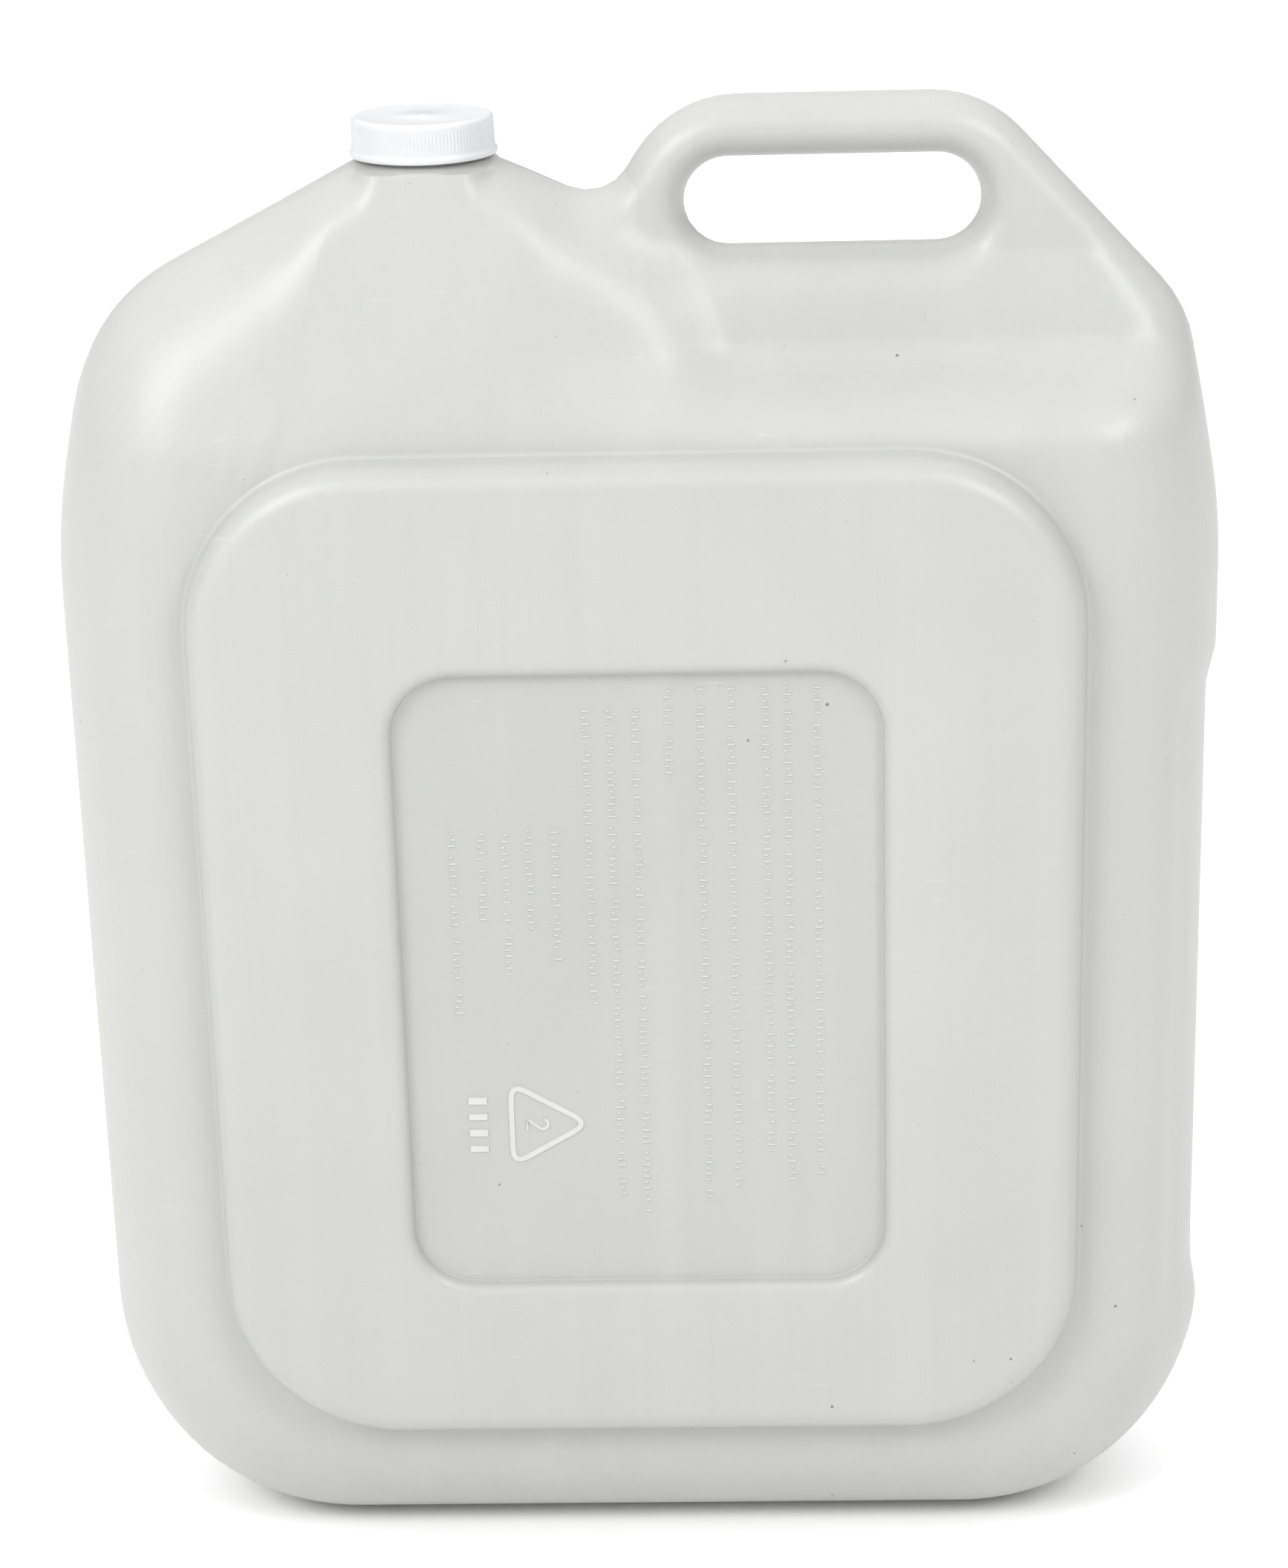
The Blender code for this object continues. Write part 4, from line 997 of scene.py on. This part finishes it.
def stroke(bm, path, width, closed=False):
    """A low raised line of this width along a path of the panel, with sloping sides."""
    half = width / 2
    section = (
        (-half, MARK_RISE),
        (-half + MARK_SLOPE, -MARK_RISE),
        (half - MARK_SLOPE, -MARK_RISE),
        (half, MARK_RISE),
    )
    count = len(path)
    rings = []
    for number, point in enumerate(path):
        before = path[number - 1] if closed or number else point
        after = path[(number + 1) % count] if closed or number < count - 1 else point
        along = (after - before).normalized()
        spots = [(point + Vector((along.y, -along.x)) * side, y) for side, y in section]
        rings.append([Vector((spot.x, PANEL_Y + y, spot.y)) for spot, y in spots])
    ring = first = ring_of(bm, rings[0])
    for places in rings[1:] + (rings[:1] if closed else []):
        ring = pull_ring(bm, ring, places)
    if not closed:
        bm.faces.new(first)
        bm.faces.new(ring)


def triangle_path():
    """A triangle with rounded corners, one of them towards +X."""
    reach = Vector((TRIANGLE_R, 0))
    corners = [Vector(TRIANGLE_CENTRE) + Matrix.Rotation(math.tau * turn / 3, 2) @ reach for turn in range(3)]
    path = []
    for number, corner in enumerate(corners):
        start = corner.lerp(corners[number - 1], TRIANGLE_ROUND)
        end = corner.lerp(corners[(number + 1) % 3], TRIANGLE_ROUND)
        for step in range(7):
            share = step / 6
            path.append(start.lerp(corner, share).lerp(corner.lerp(end, share), share))
    return path


def figure_path():
    """The figure 2 inside the triangle, a quarter turn from upright."""
    angles = [math.pi * (0.9 - 0.15 * step) for step in range(8)]
    line = [(FIGURE_R * math.cos(a), 0.0020 + FIGURE_R * math.sin(a)) for a in angles]
    line += [(-FIGURE_R, FIGURE_FOOT), (0.0024, FIGURE_FOOT)]
    return [Vector(TRIANGLE_CENTRE) + Vector((up, -across)) for across, up in line]


def tick_rows(bm):
    """Rows of ticks in groups, with a small gap after each group."""
    count = 0
    for row, (x, top, run) in enumerate(ROWS):
        z, group, left = top, row, GROUPS[row % len(GROUPS)]
        while z > top - run:
            reach, shift = SHAPES[count % len(SHAPES)]
            tick(bm, x + shift * TICK[0], z, TICK[0] * reach, TICK[1])
            count += 1
            left -= 1
            z -= TICK_PITCH
            if left == 0:
                group += 1
                left = GROUPS[group % len(GROUPS)]
                z -= TICK_GAP


def moulded_marks(finish):
    """Fine raised ticks that stand in for a moulded notice, a plain triangle round a 2, and four blocks."""
    bm = bmesh.new()
    tick_rows(bm)
    stroke(bm, triangle_path(), TRIANGLE_WIDTH, closed=True)
    stroke(bm, figure_path(), FIGURE_WIDTH)
    for number, width in enumerate(BLOCK_WIDTHS):
        centre = Vector(BLOCK) - Vector((0, BLOCK_PITCH * number))
        stroke(bm, [centre - Vector((BLOCK_HALF, 0)), centre + Vector((BLOCK_HALF, 0))], width)
    bmesh.ops.remove_doubles(bm, verts=bm.verts, dist=1e-7)
    bmesh.ops.recalc_face_normals(bm, faces=bm.faces)
    return shaded(mesh_object("moulded_marks", bm, finish), 50)


# ---------------------------------------------------------------- finishes


class Value:
    """A shader socket that takes part in arithmetic. Each operator adds one Math node."""

    def __init__(self, finish, socket):
        self.finish, self.socket = finish, socket

    def maths(self, operation, *others, clamp=False):
        """One Math node on this value and the others."""
        inputs = dict(enumerate([self, *others]))
        node = self.finish.node("Math", {"operation": operation, "use_clamp": clamp}, inputs)
        return Value(self.finish, node.outputs[0])

    def __add__(self, other):
        return self.maths("ADD", other)

    def __sub__(self, other):
        return self.maths("SUBTRACT", other)

    def __rsub__(self, other):
        return (self * -1) + other

    def __mul__(self, other):
        return self.maths("MULTIPLY", other)

    __radd__, __rmul__ = __add__, __mul__

    def over(self, limit, width):
        """0 below limit, 1 above limit + width."""
        return ((self - limit) * (1 / width)).maths("ADD", 0.0, clamp=True)

    def under(self, limit, width):
        """1 below limit - width, 0 above limit."""
        return ((self - limit) * (-1 / width)).maths("ADD", 0.0, clamp=True)


class Finish:
    """A node material on one Principled shader."""

    def __init__(self, name, **sockets):
        self.material = bpy.data.materials.new(name)
        self.material.use_nodes = True
        self.tree = self.material.node_tree
        self.shader = self.tree.nodes["Principled BSDF"]
        for label, value in sockets.items():
            self.shader.inputs[label.replace("_", " ")].default_value = value
        self.place = self.node("TexCoord").outputs["Object"]

    def node(self, kind, settings=None, inputs=None):
        """Adds a node of a type, with its settings set first, then values or links on its sockets."""
        made = self.tree.nodes.new("ShaderNode" + kind)
        for key, value in (settings or {}).items():
            setattr(made, key, value)
        for key, value in (inputs or {}).items():
            socket = value.socket if isinstance(value, Value) else value
            if isinstance(socket, bpy.types.NodeSocket):
                self.tree.links.new(socket, made.inputs[key])
            else:
                made.inputs[key].default_value = socket
        return made

    def stretched(self, scale, turn=(0, 0, 0)):
        """The place on the piece, scaled along each axis and turned."""
        return self.node("Mapping", None, {"Vector": self.place, "Scale": scale, "Rotation": turn}).outputs[0]

    def noise(self, scale, detail=3.0, stretch=(1, 1, 1), roughness=0.5, turn=(0, 0, 0)):
        """Soft noise, scale to the metre, closer together along an axis where stretch is larger."""
        vector = self.stretched(stretch, turn)
        inputs = {"Vector": vector, "Scale": scale, "Detail": detail, "Roughness": roughness}
        return Value(self, self.node("TexNoise", None, inputs).outputs[0])

    def axis(self, name):
        """One coordinate of the piece, in metres."""
        return Value(self, self.node("SeparateXYZ", None, {0: self.place}).outputs[name])

    def cells(self, scale):
        """Distance to the nearest of scattered points, and a random number for each."""
        node = self.node("TexVoronoi", None, {"Vector": self.place, "Scale": scale})
        shade = self.node("SeparateColor", None, {0: node.outputs["Color"]}).outputs[0]
        return Value(self, node.outputs["Distance"]), Value(self, shade)

    def mix(self, share, a, b):
        """Colour a where share is 0, colour b where it is 1."""
        first, second = [(*colour, 1.0) if isinstance(colour, tuple) else colour for colour in (a, b)]
        return self.node("Mix", {"data_type": "RGBA"}, {0: share, 6: first, 7: second}).outputs[2]

    def ends(self, colour, roughness=None, heights=()):
        """Feeds the shader: a colour, a roughness, and bumps as (height, distance, strength)."""
        self.tree.links.new(colour, self.shader.inputs["Base Color"])
        if roughness is not None:
            self.tree.links.new(roughness.socket, self.shader.inputs["Roughness"])
        normal = None
        for height, distance, strength in heights:
            inputs = {"Height": height, "Distance": distance, "Strength": strength}
            if normal:
                inputs["Normal"] = normal
            normal = self.node("Bump", None, inputs).outputs[0]
        if normal:
            self.tree.links.new(normal, self.shader.inputs["Normal"])
        return self.material


MARK_PAINTED_LIGHT = 1.24  # painted light: how much lighter the moulded marks are painted than the shell, as if lit
MILK_DARK, MILK_LIGHT = (0.410, 0.415, 0.397), (0.433, 0.438, 0.419)
# painted shade: darker colour of the recessed panel, standing in for the shade that falls into the recess
PANEL_PAINTED_SHADE = (0.352, 0.357, 0.346)
DIE_LINE, DIE_BAND = (0.366, 0.370, 0.356), (0.490, 0.490, 0.475)
SPECK, SCUFF = (0.10, 0.09, 0.07), (0.80, 0.80, 0.79)
CAP_DARK, CAP_LIGHT, CAP_SCUFF = (0.555, 0.560, 0.574), (0.592, 0.597, 0.611), (0.70, 0.70, 0.70)
FOAM_DARK, FOAM_LIGHT = (0.78, 0.78, 0.76), (0.84, 0.84, 0.82)
RUBBER_DARK, RUBBER_DUST = (0.014, 0.014, 0.014), (0.030, 0.029, 0.028)
FLOOR_DARK, FLOOR_LIGHT = (0.94, 0.94, 0.94), (0.95, 0.95, 0.95)


def natural_polyethylene(name="natural_polyethylene", painted_lightness=1.0):
    """Milky, satin, blow-moulded polyethylene: fine die lines along Z, slight mottling, specks and scuffs.
    The recessed panel on the underside gets a painted shade, a darker colour for the shade that falls into
    it.

    A lightness other than 1 is painted light for the raised marks: they are painted lighter, as if lit, and
    leave out the panel's painted shade.
    """
    f = Finish(name, IOR=1.5, Specular_IOR_Level=0.55, Subsurface_Weight=0.06, Subsurface_Scale=0.006)
    f.shader.inputs["Subsurface Radius"].default_value = (1.0, 0.92, 0.8)
    cloud = f.noise(9.0, 3.0)
    lines = f.noise(1.0, 4.0, stretch=(420, 420, 3.0), roughness=0.6)
    broad = f.noise(1.0, 2.0, stretch=(55, 55, 1.2))
    grain = f.noise(1500.0, 2.0)
    peel = f.noise(330.0, 2.0)
    waves = f.noise(14.0, 2.0)
    distance, pick = f.cells(70.0)
    specks = distance.under(0.055, 0.02) * pick.over(0.86, 0.02)
    small, pick_small = f.cells(190.0)
    specks = specks.maths("MAXIMUM", small.under(0.07, 0.03) * pick_small.over(0.93, 0.02) * 0.6)
    scuff_lines = f.noise(1.0, 2.0, stretch=(60, 60, 900), turn=(0, 0.4, 0.3)).over(0.66, 0.05)
    scuffs = scuff_lines * f.noise(26.0, 2.0).over(0.58, 0.08)
    # Painted light: a lightness above 1 makes a lighter, lit-looking copy of this polyethylene for raised
    # marks.
    milk = [tuple(channel * painted_lightness for channel in colour) for colour in (MILK_DARK, MILK_LIGHT)]
    base = f.mix(cloud.over(0.3, 0.4), *milk)
    if painted_lightness == 1.0:
        # Painted shade: the recessed panel's floor is mixed towards a darker colour, as if in shade.
        depth = f.axis("Y")
        panel = depth.over(PANEL_Y - 0.0045, 0.002) * depth.under(PANEL_Y + 0.005, 0.002)
        base = f.mix(panel * 0.30, base, PANEL_PAINTED_SHADE)
    base = f.mix(lines.over(0.50, 0.25) * 0.16, base, DIE_LINE)
    base = f.mix(broad.over(0.45, 0.3) * 0.16, base, DIE_BAND)
    base = f.mix(specks * 0.8, base, SPECK)
    base = f.mix(scuffs * 0.10, base, SCUFF)
    rough = cloud * 0.08 + 0.33 + lines * 0.04 + scuffs * 0.10
    heights = [
        (waves, 0.004, 0.10),
        (broad, 0.0010, 0.12),
        (peel, 0.0004, 0.10),
        (lines, 0.0003, 0.16),
        (grain, 0.0001, 0.10),
    ]
    return f.ends(base, rough, heights)


def white_polypropylene():
    """White, moulded, a little glossy, with fine grain and a few scuffs."""
    f = Finish("white_polypropylene", IOR=1.49, Subsurface_Weight=0.08, Subsurface_Scale=0.004)
    f.shader.inputs["Subsurface Radius"].default_value = (1.0, 0.95, 0.9)
    cloud = f.noise(60.0, 3.0)
    grain = f.noise(1400.0, 2.0)
    scuffs = f.noise(1.0, 2.0, stretch=(300, 40, 900), turn=(0.5, 0.2, 0)).over(0.66, 0.05)
    base = f.mix(cloud.over(0.3, 0.4), CAP_DARK, CAP_LIGHT)
    base = f.mix(scuffs * 0.2, base, CAP_SCUFF)
    rough = cloud * 0.10 + 0.30 + scuffs * 0.12
    return f.ends(base, rough, [(grain, 0.00012, 0.12)])


def liner_foam():
    """Pale foam with fine cells."""
    f = Finish("liner_foam", IOR=1.45)
    distance, _ = f.cells(1600.0)
    base = f.mix(f.noise(90.0).over(0.3, 0.4), FOAM_DARK, FOAM_LIGHT)
    return f.ends(base, distance * 0.1 + 0.72, [(distance, 0.0002, 0.5)])


def nitrile_rubber():
    """Black rubber with a trace of dust."""
    f = Finish("nitrile_rubber", IOR=1.5)
    dust = f.noise(420.0, 3.0)
    base = f.mix(dust.over(0.45, 0.3), RUBBER_DARK, RUBBER_DUST)
    return f.ends(base, dust * 0.2 + 0.48, [(f.noise(2000.0), 0.0001, 0.2)])


# ---------------------------------------------------------------- assembly


def add_piece(made, body, replaced=None):
    """Puts a finished piece on its body, and hides the CAD node it stands for, if one is given."""
    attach(made, body)
    if replaced:
        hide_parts(replaced)


def assemble():
    """Makes every visible piece."""
    polyethylene = natural_polyethylene()
    add_piece(container(polyethylene), "container", "container_body")
    # Painted light: the raised marks get a lighter copy of the shell's polyethylene, as if lit.
    marks = natural_polyethylene("raised_polyethylene_painted_light", MARK_PAINTED_LIGHT)
    add_piece(moulded_marks(marks), "container")
    white = white_polypropylene()
    add_piece(spout_cap(white), "spout_closure", "spout_cap")
    add_piece(liner(liner_foam()), "spout_seal", "spout_cap_liner")
    add_piece(drain_plug(white), "drain_closure", "drain_plug")
    add_piece(o_ring(nitrile_rubber()), "drain_seal", "drain_plug_o_ring")


# ---------------------------------------------------------------- stage


FLOOR_HALF = 14
SKY = 0.46  # brightness at the horizon
SKY_SLANT = (-0.22, 0.0, 1.16)  # how it grows towards the left and overhead
SOFTBOXES = (  # name, place, side length, power
    ("left_softbox", (-1.40, -1.50, 1.85), 0.95, 25),
    ("right_softbox", (1.40, -1.45, 1.90), 0.90, 20),
)
LIT_PLACE = (0.0, 0.0, 0.35)
AZIMUTH, ELEVATION, ROLL = math.radians(1.947), math.radians(19.756), math.radians(-1.516)
AIM = (0, 0, 0.310)
AWAY = 1.4361
LENS = 83.3
SENSOR = 36


def floor():
    """A large pale sheet under the container."""
    bm = bmesh.new()
    bmesh.ops.create_grid(bm, x_segments=1, y_segments=1, size=FLOOR_HALF)
    f = Finish("pale_floor", Roughness=0.75, Specular_IOR_Level=0.1)
    base = f.mix(f.noise(2.0).over(0.3, 0.4), FLOOR_DARK, FLOOR_LIGHT)
    mesh_object("floor", bm, f.ends(base))


def placed_object(name, data, place, rotation):
    """A lamp or a camera at a place, turned by a quaternion."""
    made = bpy.data.objects.new(name, data)
    bpy.context.scene.collection.objects.link(made)
    made.location = place
    made.rotation_mode = "QUATERNION"
    made.rotation_quaternion = rotation
    return made


def softbox(name, place, side, power):
    """A square lamp that faces the container."""
    lamp = bpy.data.lights.new(name, "AREA")
    lamp.shape = "RECTANGLE"
    lamp.size = lamp.size_y = side
    lamp.energy = power
    placed_object(name, lamp, place, (Vector(LIT_PLACE) - Vector(place)).to_track_quat("-Z", "Y"))


def stage():
    """The floor, a white sky that is brightest overhead, and two softboxes."""
    floor()
    world = bpy.data.worlds.new("studio")
    world.use_nodes = True
    nodes, links = world.node_tree.nodes, world.node_tree.links
    nodes["Background"].inputs["Color"].default_value = (1.0, 1.0, 1.0, 1.0)
    slant = nodes.new("ShaderNodeVectorMath")
    slant.operation = "DOT_PRODUCT"
    slant.inputs[1].default_value = SKY_SLANT
    links.new(nodes.new("ShaderNodeTexCoord").outputs["Generated"], slant.inputs[0])
    strength = nodes.new("ShaderNodeMath")
    strength.inputs[1].default_value = SKY
    links.new(slant.outputs["Value"], strength.inputs[0])
    links.new(strength.outputs[0], nodes["Background"].inputs["Strength"])
    bpy.context.scene.world = world
    for settings in SOFTBOXES:
        softbox(*settings)
    bpy.context.scene.view_settings.view_transform = "Standard"


def camera():
    """Just above the container's top, looking at its underside, a touch from the right."""
    back = Matrix.Rotation(AZIMUTH, 3, "Z") @ Matrix.Rotation(-ELEVATION, 3, "X") @ Vector((0, -1, 0))
    lens = bpy.data.cameras.new("camera")
    lens.lens = LENS
    lens.sensor_width = SENSOR
    turn = (-back).to_track_quat("-Z", "Y").to_matrix() @ Matrix.Rotation(ROLL, 3, "Z")
    place = Vector(AIM) + back * AWAY
    bpy.context.scene.camera = placed_object("camera", lens, place, turn.to_quaternion())


camera()
assemble()
stage()
